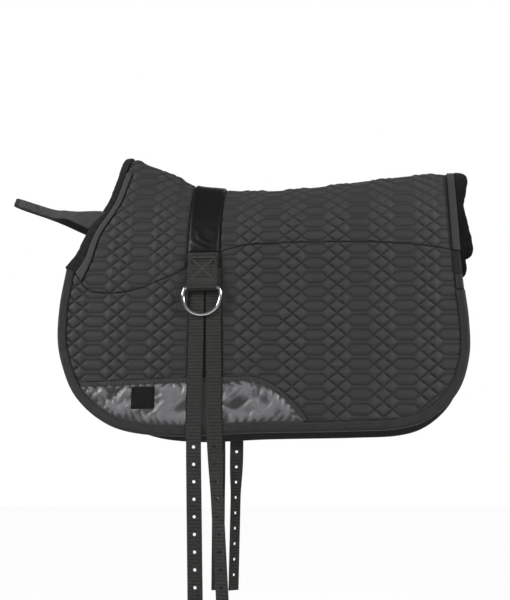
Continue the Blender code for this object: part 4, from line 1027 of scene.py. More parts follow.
def satin_finish(colour):
    """Slippery satin: long floats one way, silky on the folds, with painted shade down between them.
    """
    f = Finish("grey_satin")
    x, z, fold = f.lie()
    floats = f.cloudy(f.vector(x * 0.12, z), 0.0009, 2.0, 0.5)
    creases = f.cloudy(f.place(), 0.007, 4.0, 0.6)
    tone = f.cloudy(f.place(), 0.03, 3.0, 0.55)
    cloth = f.blend(tone * 0.5 + creases * 0.5, shade(colour, 0.75), shade(colour, 1.40))
    # Painted shade down between the folds, and where the satin is sewn flat
    cloth = f.blend(fold.smooth(0.1, 0.85), shade(colour, 0.22), cloth)
    height = creases * 1.0 + floats * 0.12
    f.done(Base_Color=cloth, Roughness=tone * 0.10 + 0.33, Normal=f.bump(height, 0.0010),
           Specular_IOR_Level=0.75, Sheen_Weight=0.1, Sheen_Roughness=0.3)


def label_finish(colour):
    """A bare woven patch with a close damask ground."""
    f = Finish("bare_label")
    x, z, _ = f.lie()
    ground = plain_weave(x, z, LABEL_THREAD)
    dust = f.cloudy(f.place(), 0.008, 4.0, 0.6)
    cloth = f.blend(ground * 0.4 + dust * 0.6, shade(colour, 0.55), shade(colour, 1.5))
    f.done(Base_Color=cloth, Roughness=dust * 0.15 + 0.45,
           Normal=f.bump(ground * 0.7 + dust * 0.3, 0.00016), Specular_IOR_Level=0.28)


def chrome_finish(colour):
    """Bright plated wire with fine drawing lines and a little dulling."""
    f = Finish("plated_wire")
    place = f.place()
    haze = f.cloudy(place, 0.009, 4.0, 0.6)
    pits = f.cloudy(place, 0.0011, 3.0, 0.6)
    plate = f.blend(haze.smooth(0.45, 0.85) * 0.6, colour, shade(colour, 0.62))
    f.done(Base_Color=plate, Metallic=1.0, Roughness=haze * 0.16 + pits * 0.05 + 0.06,
           Normal=f.bump(pits * 0.6 + haze * 0.4, 0.00005))


def thread_finish(name, colour):
    f = Finish(name)
    place = f.place()
    ply = f.cloudy(place, 0.0006, 2.0, 0.5)
    thread = f.blend(ply, shade(colour, 0.6), shade(colour, 1.4))
    f.done(Base_Color=thread, Roughness=0.5, Normal=f.bump(ply, 0.00008), Sheen_Weight=0.1)


def floor_finish(colour):
    """Plain pale floor, which shows nearly white but keeps shadows."""
    f = Finish("pale_floor")
    mottle = f.cloudy(f.place(), 0.5, 2.0, 0.5)
    f.done(Base_Color=f.blend(mottle, shade(colour, 0.985), colour), Roughness=0.9,
           Specular_IOR_Level=0.1)
    seen = f.node("ShaderNodeLightPath", output="Is Camera Ray")
    glow = f.node("ShaderNodeEmission", {"Color": (1.0, 1.0, 1.0, 1.0), "Strength": 1.0})
    surface = Value(f, f.shader.outputs[0])
    mixed = f.node("ShaderNodeMixShader", {0: seen * 0.97, 1: surface, 2: glow})
    output = f.tree.nodes["Material Output"]
    f.feed(output.inputs["Surface"], mixed)


# Settings that a user would change

class PadCloth(bpy.types.PropertyGroup):
    """How the cloth lies."""
    quilt_relief: FloatProperty(name="Quilting relief", unit="LENGTH", default=0.0035,
                                description="Height of the puffs between lines of quilting")
    quilt_sink: FloatProperty(name="Quilting sink", unit="LENGTH", default=0.0013,
                              description="Depth of the quilted lines under the cover's face")
    cover_step: FloatProperty(name="Cover step", unit="LENGTH", default=0.0023,
                              description="Distance between points of the quilted covers")
    fleece_step: FloatProperty(name="Fleece step", unit="LENGTH", default=0.0042,
                               description="Distance between points of the fleece linings")
    fleece_pile: FloatProperty(name="Fleece pile", unit="LENGTH", default=0.0012,
                               description="Unevenness of the fleece")
    satin_crinkle: FloatProperty(name="Satin crinkle", unit="LENGTH", default=0.0050,
                                 description="Height of the puckers in the satin patches")


class PadColours(bpy.types.PropertyGroup):
    """Colours of the cloths, the webbing and the wire."""
    cover: FloatVectorProperty(name="Cover", subtype="COLOR", default=(0.043, 0.043, 0.042),
                               description="Quilted cotton cover")
    fleece: FloatVectorProperty(name="Fleece", subtype="COLOR", default=(0.0055, 0.0055, 0.0062),
                                description="Fleece lining and rolls")
    # Painted light: a paler copy of the fleece, for the light that falls on the front roll
    worn: FloatVectorProperty(name="Worn fleece", subtype="COLOR", default=(0.020, 0.020, 0.0195),
                              description="Fleece roll along the front, rubbed pale")
    tape: FloatVectorProperty(name="Tape", subtype="COLOR", default=(0.056, 0.057, 0.058),
                              description="Flat tape beside the rolls and over the patch")
    binding: FloatVectorProperty(name="Binding", subtype="COLOR", default=(0.028, 0.028, 0.028),
                                 description="Braid folded round the flaps")
    strap: FloatVectorProperty(name="Strap", subtype="COLOR", default=(0.0085, 0.0075, 0.0070),
                               description="Smooth strap over the seat")
    webbing: FloatVectorProperty(name="Webbing", subtype="COLOR", default=(0.034, 0.0345, 0.0295),
                                 description="Billets and ring tabs")
    handle: FloatVectorProperty(name="Handle", subtype="COLOR", default=(0.046, 0.047, 0.047),
                                description="Webbing of the grab handle")
    satin: FloatVectorProperty(name="Satin", subtype="COLOR", default=(0.215, 0.217, 0.226),
                               description="Satin wear patches")
    label: FloatVectorProperty(name="Label", subtype="COLOR", default=(0.0035, 0.0035, 0.0035),
                               description="Bare label patch")
    thread: FloatVectorProperty(name="Thread", subtype="COLOR", default=(0.034, 0.035, 0.037),
                                description="Sewing thread")
    chrome: FloatVectorProperty(name="Chrome", subtype="COLOR", default=(0.80, 0.80, 0.81),
                                description="Plated rings")
    floor: FloatVectorProperty(name="Floor", subtype="COLOR", default=(0.90, 0.90, 0.90),
                               description="Studio floor")


class PadStudio(bpy.types.PropertyGroup):
    """Camera and lights."""
    turn: FloatProperty(name="Camera turn", subtype="ANGLE", default=radians(6.3),
                        description="How far the camera looks towards the front of the pad")
    tilt: FloatProperty(name="Camera tilt", subtype="ANGLE", default=radians(8.27),
                        description="How far the camera looks up")
    distance: FloatProperty(name="Camera distance", unit="LENGTH", default=2.25,
                            description="Level distance from the camera to the pad's middle")
    height: FloatProperty(name="Camera height", unit="LENGTH", default=-0.507,
                          description="Height of the camera over the origin")
    lens: FloatProperty(name="Lens", default=76.4, description="Focal length in millimetres")
    key: FloatProperty(name="Side lamps", default=17.0, description="Power of each in watts")
    fill: FloatProperty(name="Front lamp", default=3.5, description="Power in watts")
    rim: FloatProperty(name="Rim lamp", default=12.0, description="Power of the rim lamp in watts")
    sky: FloatProperty(name="Room light", default=0.095,
                       description="Strength of the room's light")


# Operators, one for each piece or group of like pieces

def cloth():
    return bpy.context.scene.pad_cloth


class PadOperator(bpy.types.Operator):
    bl_options = {"REGISTER", "UNDO"}


class PAD_OT_finishes(PadOperator):
    """Make the materials of every piece"""
    bl_idname = "pad.finishes"
    bl_label = "Finishes"

    def execute(self, context):
        colours = context.scene.pad_colours
        cover_finish(colours.cover, colours.thread)
        fleece_finish("black_fleece", colours.fleece)
        # Painted light: the front roll's fleece, a paler copy of the black fleece
        fleece_finish("worn_fleece", colours.worn)
        # Painted shade: the rear tape, a darker copy of the tape
        tape_finish("flat_tape", shade(colours.tape, 0.78), 0.0014)
        tape_finish("dark_tape", shade(colours.tape, 0.16), 0.0014)
        # Painted light: the front tape, a paler copy of the tape
        tape_finish("pale_tape", shade(colours.tape, 1.2), 0.0014)
        tape_finish("ribbed_tape", colours.tape, 0.0014, 0.0003, 0.62, 0.0042, 0.75)
        # The braid: painted shade in its deeper ribs and on its inner face
        tape_finish("binding_braid", colours.binding, 0.0017, 0.0003, 0.55, 0.0036, 0.45,
                    0.024)
        strap_finish(colours.strap)
        webbing_finish("ribbed_webbing", colours.webbing)
        webbing_finish("handle_webbing", colours.handle, 0.0020, 0.0027, 0.004, 0.3, 0.022)
        satin_finish(colours.satin)
        label_finish(colours.label)
        chrome_finish(colours.chrome)
        thread_finish("thread", shade(colours.thread, 1.3))
        thread_finish("dark_thread", shade(colours.binding, 0.9))
        thread_finish("webbing_thread", shade(colours.webbing, 2.6))
        floor_finish(colours.floor)
        return {"FINISHED"}


def seat_outline(step=0.003):
    """The near half of the seat laid flat: along the seam, up the rear, the spine, the front."""
    seam = np.linspace(SEAM_FRONT, SEAM_REAR, round((SEAM_REAR - SEAM_FRONT) / step))
    ways = np.linspace(1, 0, 90)
    back = rear_edge(ways)
    ridge = np.linspace(float(rear_edge(0.0)), float(front_edge(0.0)), 220)
    nose = front_edge(ways[::-1])
    parts = [np.stack([seam, -seam_drop(seam)], -1), np.stack([back, rise_at(back, ways)], -1),
             np.stack([ridge, rise_at(ridge, 0.0)], -1),
             np.stack([nose, rise_at(nose, ways[::-1])], -1)]
    return np.concatenate([part[:-1] for part in parts])


def foam_depth(x, way):
    ends = np.minimum(x - front_edge(way), rear_edge(way) - x) / FOAM_TAPER
    full = SPINE_FOAM + (SEAT_FOAM - SPINE_FOAM) * eased(way / FOAM_SPINE_SHARE)
    ease = np.minimum(eased(ends), eased((1 - way) / FOAM_SEAM_SHARE))
    return SEAT_EDGE_FOAM + (full - SEAT_EDGE_FOAM) * ease


def sewn_level(from_seam):
    """Height of cloth that is pressed down, lowest in the seam."""
    return -0.0002 - 0.0010 * (1 - eased(from_seam / 0.005))


def quilt_shades(height, lies_open, hidden):
    """How far up its puffs each point of a cover is, from 0 to 1, where its painted highlight grows,
    and -1 where the cloth is hidden, or pressed beside or under a piece sewn over it, where it
    has painted shade."""
    relief = np.clip((height + cloth().quilt_sink) / cloth().quilt_relief, 0, 1)
    return np.concatenate([np.where(lies_open, relief, -1), np.full(hidden, -1.0)])


def fleece_pile(x, y, seed):
    """Unevenness of the fleece, in tufts of two sizes."""
    tufts = patchy(x, y, TUFT, seed) + 0.6 * patchy(x, y, TUFT / 2, seed + 1)
    return cloth().fleece_pile * tufts


def seat_puffs(points):
    """Height of the quilted seat at flat places, and whether the cloth lies open there."""
    x, rise = points.T
    way = way_at(x, rise)
    before = x - front_edge(way) - np.where(way > FRONT_TAPE_START_SHARE, FRONT_TAPE_WIDTH, 0.0)
    behind = rear_edge(way) - REAR_TAPE_WIDTH - x
    beside = np.abs(x - STRAP_PLACE) - STRAP_WIDTH / 2
    over_seam = rise + seam_drop(x)
    shown = eased(before / 0.006) * eased(behind / 0.016) * eased(beside / WEBBING_SINK)
    lies_open = shown > LIES_OPEN
    shown = shown * eased(over_seam / SEAM_FADE)
    style = cloth()
    puffs = quilt_height(x, rise, style.quilt_relief) - style.quilt_sink
    flat = sewn_level(over_seam) - 0.0010 * eased(behind / 0.002) - 0.0006 * eased(beside / 0.002)
    puffs = puffs * (1 - 0.45 * np.exp(-(rise / 0.03) ** 2))
    return flat * (1 - shown) + puffs * shown, lies_open


class PAD_OT_seat_cover(PadOperator):
    """Make the quilted seat, cover and foam sewn through"""
    bl_idname = "pad.seat_cover"
    bl_label = "Quilted seat"

    def execute(self, context):
        step = cloth().cover_step
        outline = seat_outline()
        lines = quilt_points(outline.min(0), outline.max(0), step)
        top = Layout(outline, step, lines=lines)
        bottom = Layout(outline, BASE_STEP)
        height, lies_open = seat_puffs(top.points)
        high = seat_place(*top.points.T, height)
        way = way_at(*bottom.points.T)
        depth = COVER_THICKNESS + CLEARANCE + foam_depth(bottom.points[:, 0], way)
        low = seat_place(*bottom.points.T, -depth)
        for piece in on_both_sides("seat_quilt", shell(top, high, bottom, low), "quilted_cover",
                                   ("seat_cover", "seat_foam"),
                                   quilt_shades(height, lies_open, len(low)), seat=True):
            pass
        return {"FINISHED"}


class PAD_OT_seat_lining(PadOperator):
    """Make the fleece under the seat"""
    bl_idname = "pad.seat_lining"
    bl_label = "Seat fleece"

    def execute(self, context):
        outline = seat_outline(0.006)
        layout = Layout(outline, cloth().fleece_step, rims=(0.0015,))
        x, rise = layout.points.T
        way = way_at(x, rise)
        top = -COVER_THICKNESS - 2 * CLEARANCE - foam_depth(x, way)
        pile = fleece_pile(x, rise, 21) + 0.0005 * patchy(x, rise, 0.05, 23)
        pile = pile * eased(layout.room / 0.006)
        soft = LINING_THICKNESS * (0.45 + 0.55 * eased(layout.room / 0.004))
        high = seat_place(x, rise, top)
        low = seat_place(x, rise, top - soft + pile)
        for piece in on_both_sides("seat_fleece", shell(layout, high, layout, low),
                                   "black_fleece", ("seat_lining",), angle=70,
                                   seat=True):
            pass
        return {"FINISHED"}


def wadding_depth(room):
    return FLAP_EDGE_WADDING + (FLAP_WADDING - FLAP_EDGE_WADDING) * eased(room / WADDING_TAPER)


def flap_edge(step=0.003):
    """Free edge of a flap inside its binding, from the front of the seam round to its rear."""
    points = np.array(FLAP) * (PAD_LENGTH, -PAD_DROP)
    edge = offset_line(curve_through(points, step), BINDING_THICKNESS + CLEARANCE)
    edge[-1] = (SEAM_REAR, -float(seam_drop(SEAM_REAR)) - SEAM_GAP)
    return edge


def flap_seam(step=0.003):
    x = np.linspace(SEAM_REAR, SEAM_FRONT, round((SEAM_REAR - SEAM_FRONT) / step))
    return np.stack([x, -seam_drop(x) - SEAM_GAP], -1)


def patch_edge(step=0.003):
    return curve_through(np.array(PATCH_EDGE) * (PAD_LENGTH, -PAD_DROP), step)


def billet_x(index, z):
    return BILLET_PLACE + BILLET_SPACING * index + BILLET_LEANS[index] * (-z - BILLET_TOP_DROP)


def flap_shown(points):
    """How much of a flap's quilting shows at flat places, from 0 to 1, how near the seam, and
    whether the cloth lies open there."""
    x, z = points.T
    border = distance_to(points, flap_edge(0.006)) - BINDING_WIDTH
    below_seam = -seam_drop(x) - SEAM_GAP - z
    line = patch_edge(0.006)
    over_patch = distance_to(points, line)
    under = (x < line[-1, 0]) & (z < np.interp(x, line[:, 0], line[:, 1]))
    over_patch[under] = 0
    front = billet_x(0, z) - BILLET_WIDTH / 2
    rear = billet_x(1, z) + BILLET_WIDTH / 2
    front = np.where(z > -RING_DROP, np.minimum(front, STRAP_FRONT), front)
    rear = np.where(z > -RING_DROP, np.maximum(rear, STRAP_REAR), rear)
    beside = np.maximum(front - x, x - rear)
    shown = eased(border / 0.005) * eased(over_patch / 0.005) * eased(beside / WEBBING_SINK)
    return shown * eased(below_seam / SEAM_FADE), below_seam, shown > LIES_OPEN


class PAD_OT_flap_covers(PadOperator):
    """Make the quilted flaps, cover and wadding sewn through"""
    bl_idname = "pad.flap_covers"
    bl_label = "Quilted flaps"

    def execute(self, context):
        step = cloth().cover_step
        outline = np.concatenate([flap_edge()[:-1], flap_seam()])
        lines = quilt_points(outline.min(0), outline.max(0), step)
        lines = lines[flap_shown(lines)[0] > 0.05]
        top = Layout(outline, step, lines=lines)
        bottom = Layout(outline, BASE_STEP)
        x, z = top.points.T
        shown, below, lies_open = flap_shown(top.points)
        style = cloth()
        puffs = quilt_height(x, z, style.quilt_relief) - style.quilt_sink
        height = sewn_level(below) * (1 - shown) + puffs * shown
        high = flap_place(x, z, height)
        room = np.minimum(distance_to(bottom.points, flap_edge(0.01)) - BINDING_WIDTH,
                          -seam_drop(bottom.points[:, 0]) - SEAM_GAP - bottom.points[:, 1])
        low = flap_place(*bottom.points.T, -COVER_THICKNESS - CLEARANCE - wadding_depth(room))
        for piece in on_both_sides("flap_quilt", shell(top, high, bottom, low), "quilted_cover",
                                   ("flap_cover", "flap_wadding"),
                                   quilt_shades(height, lies_open, len(low)), folds=True):
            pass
        return {"FINISHED"}


class PAD_OT_flap_linings(PadOperator):
    """Make the fleece inside the flaps"""
    bl_idname = "pad.flap_linings"
    bl_label = "Flap fleece"

    def execute(self, context):
        edge = flap_edge(0.006)
        outline = np.concatenate([edge[:-1], flap_seam(0.006)])
        layout = Layout(outline, cloth().fleece_step, rims=(0.0015,))
        x, z = layout.points.T
        border = distance_to(layout.points, edge) - BINDING_WIDTH
        room = np.minimum(border, -seam_drop(x) - SEAM_GAP - z)
        wadding = wadding_depth(room)
        top = -COVER_THICKNESS - 2 * CLEARANCE - wadding
        low = np.where(border > -0.001, FLAP_EDGE_WADDING - FLAP_BORDER - wadding, -FLAP_BORDER)
        low = low + fleece_pile(x, z, 31) * eased((border - 0.001) / 0.006)
        shape = shell(layout, flap_place(x, z, top), layout, flap_place(x, z, low))
        for piece in on_both_sides("flap_fleece", shape, "black_fleece",
                                   ("flap_lining",), angle=70, folds=True):
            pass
        return {"FINISHED"}


def corner_heights():
    """Heights of the corner tape's top and foot and of the bar tack's foot."""
    top = -float(seam_drop(SEAM_REAR)) - SEAM_GAP
    return top, top - CORNER_TAPE_LENGTH, top - CORNER_TAPE_LENGTH - CLEARANCE - BAR_TACK_LENGTH


class PAD_OT_edge_bindings(PadOperator):
    """Fold braid round the free edge of each flap and sew it down"""
    bl_idname = "pad.edge_bindings"
    bl_label = "Edge bindings"

    def execute(self, context):
        edge = flap_edge(0.005)
        foot = corner_heights()[2]
        keep = ~((edge[:, 0] > 0.2) & (edge[:, 1] > foot - CLEARANCE))
        edge = edge[keep]
        run = run_along(edge)
        sections = []
        for depth, level in BINDING_PROFILE:
            depth, level = depth / 1000, level / 1000
            line = offset_line(edge, depth) if depth else edge
            wavy = 0.00022 * patchy(run, 0 * run, 0.006, 41 + (level < -0.004))
            out = level + (wavy if abs(level) > 0.0014 and depth > 0.002 else 0)
            sections.append(flap_place(line[:, 0], line[:, 1], out + 0 * run))
        sections = np.swapaxes(np.array(sections), 0, 1)
        for piece in on_both_sides("binding", tube(sections, run), "binding_braid",
                                   ("edge_binding",), angle=60):
            face_outwards(piece)
        row = offset_line(edge, BRAID_INSET)
        stitch_both_sides("binding_stitches", [(flap_place, row[1:-1], 0.0016)],
                          finish="dark_thread")
        return {"FINISHED"}


def edge_frames(edge, ways, ahead):
    """Places on an end of the seat with the way out of its surface and the way off its end."""
    point = near_seat(edge(ways), ways)
    before = near_seat(edge(ways - NUDGE), np.abs(ways - NUDGE))
    before[:, 1] *= np.where(ways < NUDGE, -1, 1)
    after = near_seat(edge(np.minimum(ways + NUDGE, 1)), np.minimum(ways + NUDGE, 1))
    outward = near_seat_outward(edge(ways), ways)
    off = unit(np.cross(after - before, outward))
    return point, outward, off * np.where(off[:, :1] * ahead < 0, -1, 1)


# Each roll's edge and the way off it, its width, lumpiness, overhang, rounded end, swells, finish
ROLLS = (("front_fleece_roll", front_edge, -1, FRONT_ROLL_WIDTH, 0.04, 0.009, 0.006,
          FRONT_SWELLS, "worn_fleece"),
         ("rear_fleece_roll", rear_edge, 1, REAR_ROLL_WIDTH, 0.08, 0.018, 0.012,
          REAR_SWELLS, "black_fleece"))


class PAD_OT_fleece_rolls(PadOperator):
    """Roll the lining's fleece round both ends of the seat"""
    bl_idname = "pad.fleece_rolls"
    bl_label = "Fleece rolls"

    def execute(self, context):
        for name, edge, ahead, width, lumps, hang, end, swells, finish in ROLLS:
            ways = np.linspace(0, ROLL_END_SHARE, 100)
            point, outward, off = edge_frames(edge, ways, ahead)
            down = (point[-1] - point[-2]) / np.linalg.norm(point[-1] - point[-2])
            past = hang * np.sin(np.linspace(0, pi / 2, 9)[1:])[:, None]
            point = np.concatenate([point, point[-1] + down * past])
            outward = np.concatenate([outward, np.tile(outward[-1], (8, 1))])
            off = np.concatenate([off, np.tile(off[-1], (8, 1))])
            half = ROLL_THICKNESS / 2
            middle = point + off * ROLL_GAP + outward * (ROLL_PROUD - half)
            run = run_along(middle)
            swell = smooth_line(swells)(run / run[-1])[:, None]
            left = np.clip((run[-1] - run) / end, 0, 1)[:, None]
            ends = 0.2 + 0.8 * np.sqrt(1 - (1 - left) ** 2)
            sections = []
            for turn in np.linspace(-pi / 2, pi / 2, 19):
                fuzz = 1 + 0.035 * patchy(run, turn * 0.007 + 0 * run, 0.006, 51)[:, None]
                fuzz = fuzz + lumps * patchy(run, turn * 0.004 + 0 * run, 0.038, 52)[:, None]
                sections.append(middle + off * width * cos(turn) * ends * fuzz * swell
                                + outward * half * sin(turn) * ends * (0.4 + 0.6 * fuzz))
            for back in (0.45, 0.0, -0.45):
                sections.append(middle + off * 0.0003 + outward * half * back * ends)
            sections = np.swapaxes(np.array(sections), 0, 1)
            for piece in on_both_sides(name + "_pile", tube(sections, run), finish,
                                       (name,), angle=75, seat=True):
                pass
        return {"FINISHED"}


def laid_piece(outline, place, low, high, middle=None, step=0.004, wavy=0.0, seed=1):
    """A flat piece sewn on a surface, with softly rounded edges. A narrow one lies along its
    middle line."""
    thickness = high - low
    layout = Layout(outline, step, rims=(thickness * 0.25, thickness * 0.8))
    x, y = layout.points.T
    top = low + thickness * rounded(layout.room, thickness)
    top = top + wavy * (1 + patchy(x, y, 0.012, seed)) / 2 * eased(layout.room / 0.003)
    points, faces, lie = shell(layout, place(x, y, top), layout, place(x, y, low + 0 * x))
    return points, faces, lie if middle is None else lie_along(lie, middle)


def lie_along(lie, middle):
    """Across and along for a narrow piece, from its own centreline laid flat."""
    best, along = np.full(len(lie), 9.0), np.zeros(len(lie))
    side, run = np.zeros(len(lie)), 0.0
    for start, end in zip(middle, middle[1:]):
        way = end - start
        length = np.linalg.norm(way)
        t = np.clip((lie - start) @ way / length ** 2, 0, 1)
        off = lie - start - t[:, None] * way
        away = np.linalg.norm(off, axis=1)
        closer = away < best
        best[closer] = away[closer]
        along[closer] = run + t[closer] * length
        side[closer] = (off @ np.array([-way[1], way[0]]) / length)[closer]
        run += length
    return np.stack([side, along], -1)


def end_band(edge, ways, start, width):
    """Flat outline and centreline of a tape along an end of the seat."""
    x = edge(ways)
    lines = [np.stack([x + shift, rise_at(x + shift, ways)], -1)
             for shift in (start, start + width / 2, start + width)]
    return np.concatenate([lines[0], lines[2][::-1]]), lines[1]


class PAD_OT_tapes(PadOperator):
    """Sew flat tape beside the rolls, with its corner pieces and bar tacks"""
    bl_idname = "pad.tapes"
    bl_label = "Tapes"

    def execute(self, context):
        level = CLEARANCE + TAPE_THICKNESS
        front = end_band(front_edge, np.linspace(FRONT_TAPE_START_SHARE, TAPE_END_SHARE, 70),
                         TAPE_SHIFT, FRONT_TAPE_WIDTH)
        rear = end_band(rear_edge, np.linspace(0, TAPE_END_SHARE, 90), -REAR_TAPE_WIDTH,
                        REAR_TAPE_WIDTH - TAPE_SHIFT)
        front, rear = (laid_piece(outline, seat_place, CLEARANCE, level, middle)
                       for outline, middle in (front, rear))
        on_both_sides("front_tape_laid", front, "pale_tape", ("front_tape",), folds=True)
        on_both_sides("rear_tape_laid", rear, "flat_tape", ("rear_tape",), seat=True)
        self.sew_ends(level)
        self.add_corners(level)
        return {"FINISHED"}

    def sew_ends(self, level):
        rows = []
        for edge, low, width, inward in (
                (front_edge, FRONT_TAPE_START_SHARE + 0.01, FRONT_TAPE_WIDTH, 1),
                (rear_edge, 0.005, REAR_TAPE_WIDTH, -1)):
            ways = np.linspace(low, 0.985, 40)
            for shift in (TAPE_INSET, width - TAPE_INSET):
                x = edge(ways) + inward * shift
                rows.append((seat_place, np.stack([x, rise_at(x, ways)], -1), level))
        stitch_both_sides("tape_stitches", rows, "seat")

    def add_corners(self, level):
        edge = flap_edge(0.003)
        rising = edge[edge[:, 0] > 0.30]
        rising = rising[rising[:, 1] > -0.26]

        def edge_at(z):
            return np.interp(z, rising[:, 1], rising[:, 0])
        top, tape_foot, tack_foot = corner_heights()
        for name, high, low, width, thick in (
                ("corner_tape", top - 0.0006, tape_foot, REAR_TAPE_WIDTH, TAPE_THICKNESS),
                ("bar_tack", tape_foot - CLEARANCE, tack_foot, BAR_TACK_WIDTH, TACK_HEIGHT)):
            z = np.linspace(high, low, 14)
            x = edge_at(z)
            outline = np.concatenate([np.stack([x - width, z], -1), np.stack([x, z], -1)[::-1]])
            shape = laid_piece(outline, flap_place, CLEARANCE, CLEARANCE + thick,
                               np.stack([x - width / 2, z], -1))
            finish = "dark_tape" if name == "corner_tape" else "dark_thread"
            on_both_sides(name + "_laid", shape, finish, (name,))
        z = np.linspace(tape_foot - 0.0015, tack_foot + 0.0015, 15)
        x = edge_at(z)
        bars = [(flap_place, np.array([[a - BAR_TACK_WIDTH + 0.0012, b], [a - 0.0012, b]]),
                 CLEARANCE + TACK_HEIGHT) for a, b in zip(x, z)]
        stitch_both_sides("bar_tack_stitches", bars, finish="dark_thread", pitch=0.0052,
                          length=0.0050, radius=0.00055)
        z = np.linspace(top - 0.003, tape_foot + 0.002, 8)
        x = edge_at(z)
        rows = [(flap_place, np.stack([x - shift, z], -1), level)
                for shift in (TAPE_INSET, REAR_TAPE_WIDTH - TAPE_INSET)]
        stitch_both_sides("corner_stitches", rows)


def strap_foot(x):
    """How far up the cloth the strap's level ends lie."""
    top = SPINE_STACK + spine_rise(x)
    way = np.arccos(1 - (top + STRAP_END_DROP) / (top + seam_drop(x))) / (pi / 2)
    return rise_at(x, way)


class PAD_OT_crossing_strap(PadOperator):
    """Lay the smooth strap over the seat"""
    bl_idname = "pad.crossing_strap"
    bl_label = "Strap"

    def execute(self, context):
        foot = np.linspace(STRAP_FRONT, STRAP_REAR, 14)
        start = np.stack([foot, strap_foot(foot)], -1)
        ridge = np.stack([foot[::-1], rise_at(foot[::-1], 0.0)], -1)
        share = np.linspace(0, 1, 60)[1:-1, None]
        rear = start[-1] * (1 - share) + ridge[0] * share
        front = ridge[-1] * (1 - share) + start[0] * share
        outline = np.concatenate([start, rear, ridge, front])
        thick = STRAP_THICKNESS
        layout = Layout(outline, 0.003, rims=(0.0005, 0.0016))
        x, rise = layout.points.T
        above = rise - strap_foot(x)
        room = np.minimum(np.minimum(x - STRAP_FRONT, STRAP_REAR - x), above)
        folds = 1 - np.abs(patchy(x * 0.55 + rise, (x - rise * 0.5) * 0.35, 0.013, 71))
        folds = folds ** 2 * eased((0.055 - above) / 0.04) * eased(room / 0.006)
        top = CLEARANCE + thick * rounded(room, thick) + 0.0026 * folds
        high, low = seat_place(x, rise, top), seat_place(x, rise, CLEARANCE + 0 * x)
        points, faces, lie = shell(layout, high, layout, low)
        on_both_sides("strap_laid", (points, faces, lie - (STRAP_PLACE, 0)), "smooth_strap",
                      ("crossing_strap",), seat=True)
        rows = []
        for x in (STRAP_FRONT + STRAP_INSET, STRAP_REAR - STRAP_INSET):
            ends = (float(strap_foot(np.array(x))) + STRAP_INSET, float(rise_at(x, 0.0)))
            rows.append((seat_place, [(x, rise) for rise in np.linspace(*ends, 20)],
                         CLEARANCE + thick))
        x = np.linspace(STRAP_FRONT + STRAP_INSET, STRAP_REAR - STRAP_INSET, 6)
        rows.append((seat_place, np.stack([x, strap_foot(x) + STRAP_INSET], -1),
                     CLEARANCE + thick))
        stitch_both_sides("strap_stitches", rows, "seat", finish="dark_thread")
        return {"FINISHED"}


def tab_strip():
    """Centreline of the ring tab: down over the billets, round the bar and back up."""
    step = TAB_OUTER_LEVEL - TAB_LEVEL
    jog_end = TAB_JOG_DROP + TAB_JOG_LENGTH
    turns = np.linspace(0, pi, 17)
    route = [(TAB_TOP_DROP, BILLET_LEVEL), (TAB_JOG_DROP, BILLET_LEVEL), (jog_end, TAB_LEVEL)]
    route += [(RING_DROP + LOOP_RADIUS * sin(t), RING_LEVEL - LOOP_RADIUS * cos(t)) for t in turns]
    route += [(RING_DROP - TAB_RAMP_LENGTH * 0.5, RING_LEVEL + LOOP_RADIUS * 0.62),
              (RING_DROP - TAB_RAMP_LENGTH, TAB_OUTER_LEVEL), (jog_end, TAB_OUTER_LEVEL),
              (TAB_JOG_DROP, BILLET_LEVEL + step), (TAB_TOP_DROP, BILLET_LEVEL + step)]
    route = np.array(route)
    drops, levels = route.T
    middles = flap_place(0 * drops + STRAP_PLACE, -drops, levels)
    return Strip(middles, -ALONG, STRAP_WIDTH, WEBBING_THICKNESS)


class PAD_OT_ring_tabs(PadOperator):
    """Fold the webbing tabs that hold the rings, and sew each with a crossed box"""
    bl_idname = "pad.ring_tabs"
    bl_label = "Ring tabs"

    def execute(self, context):
        for piece in on_both_sides("ring_tab_folded", tab_strip().body(0.0032),
                                   "ribbed_webbing", ("ring_tab",)):
            face_outwards(piece)
        half = STRAP_WIDTH / 2 - TAB_INSET
        top, foot = -TAB_TOP_DROP - 0.010, -RING_DROP + 0.014
        level = TAB_OUTER_LEVEL + WEBBING_THICKNESS / 2
        box = [(STRAP_PLACE + h * half, z) for h, z in
               ((-1, top), (1, top), (1, foot), (-1, foot), (-1, top))]
        rows = [(flap_place, box, level)]
        inner = half - CROSS_INSET
        for turn in (-1, 1):
            for apart in (-0.0011, 0.0011):
                ends = [(STRAP_PLACE + turn * inner + apart, top - CROSS_INSET),
                        (STRAP_PLACE - turn * inner + apart, foot + CROSS_INSET)]
                rows.append((flap_place, ends, level))
        stitch_both_sides("tab_stitches", rows, finish="webbing_thread", pitch=0.0036,
                          length=0.0033, radius=0.00085)
        return {"FINISHED"}


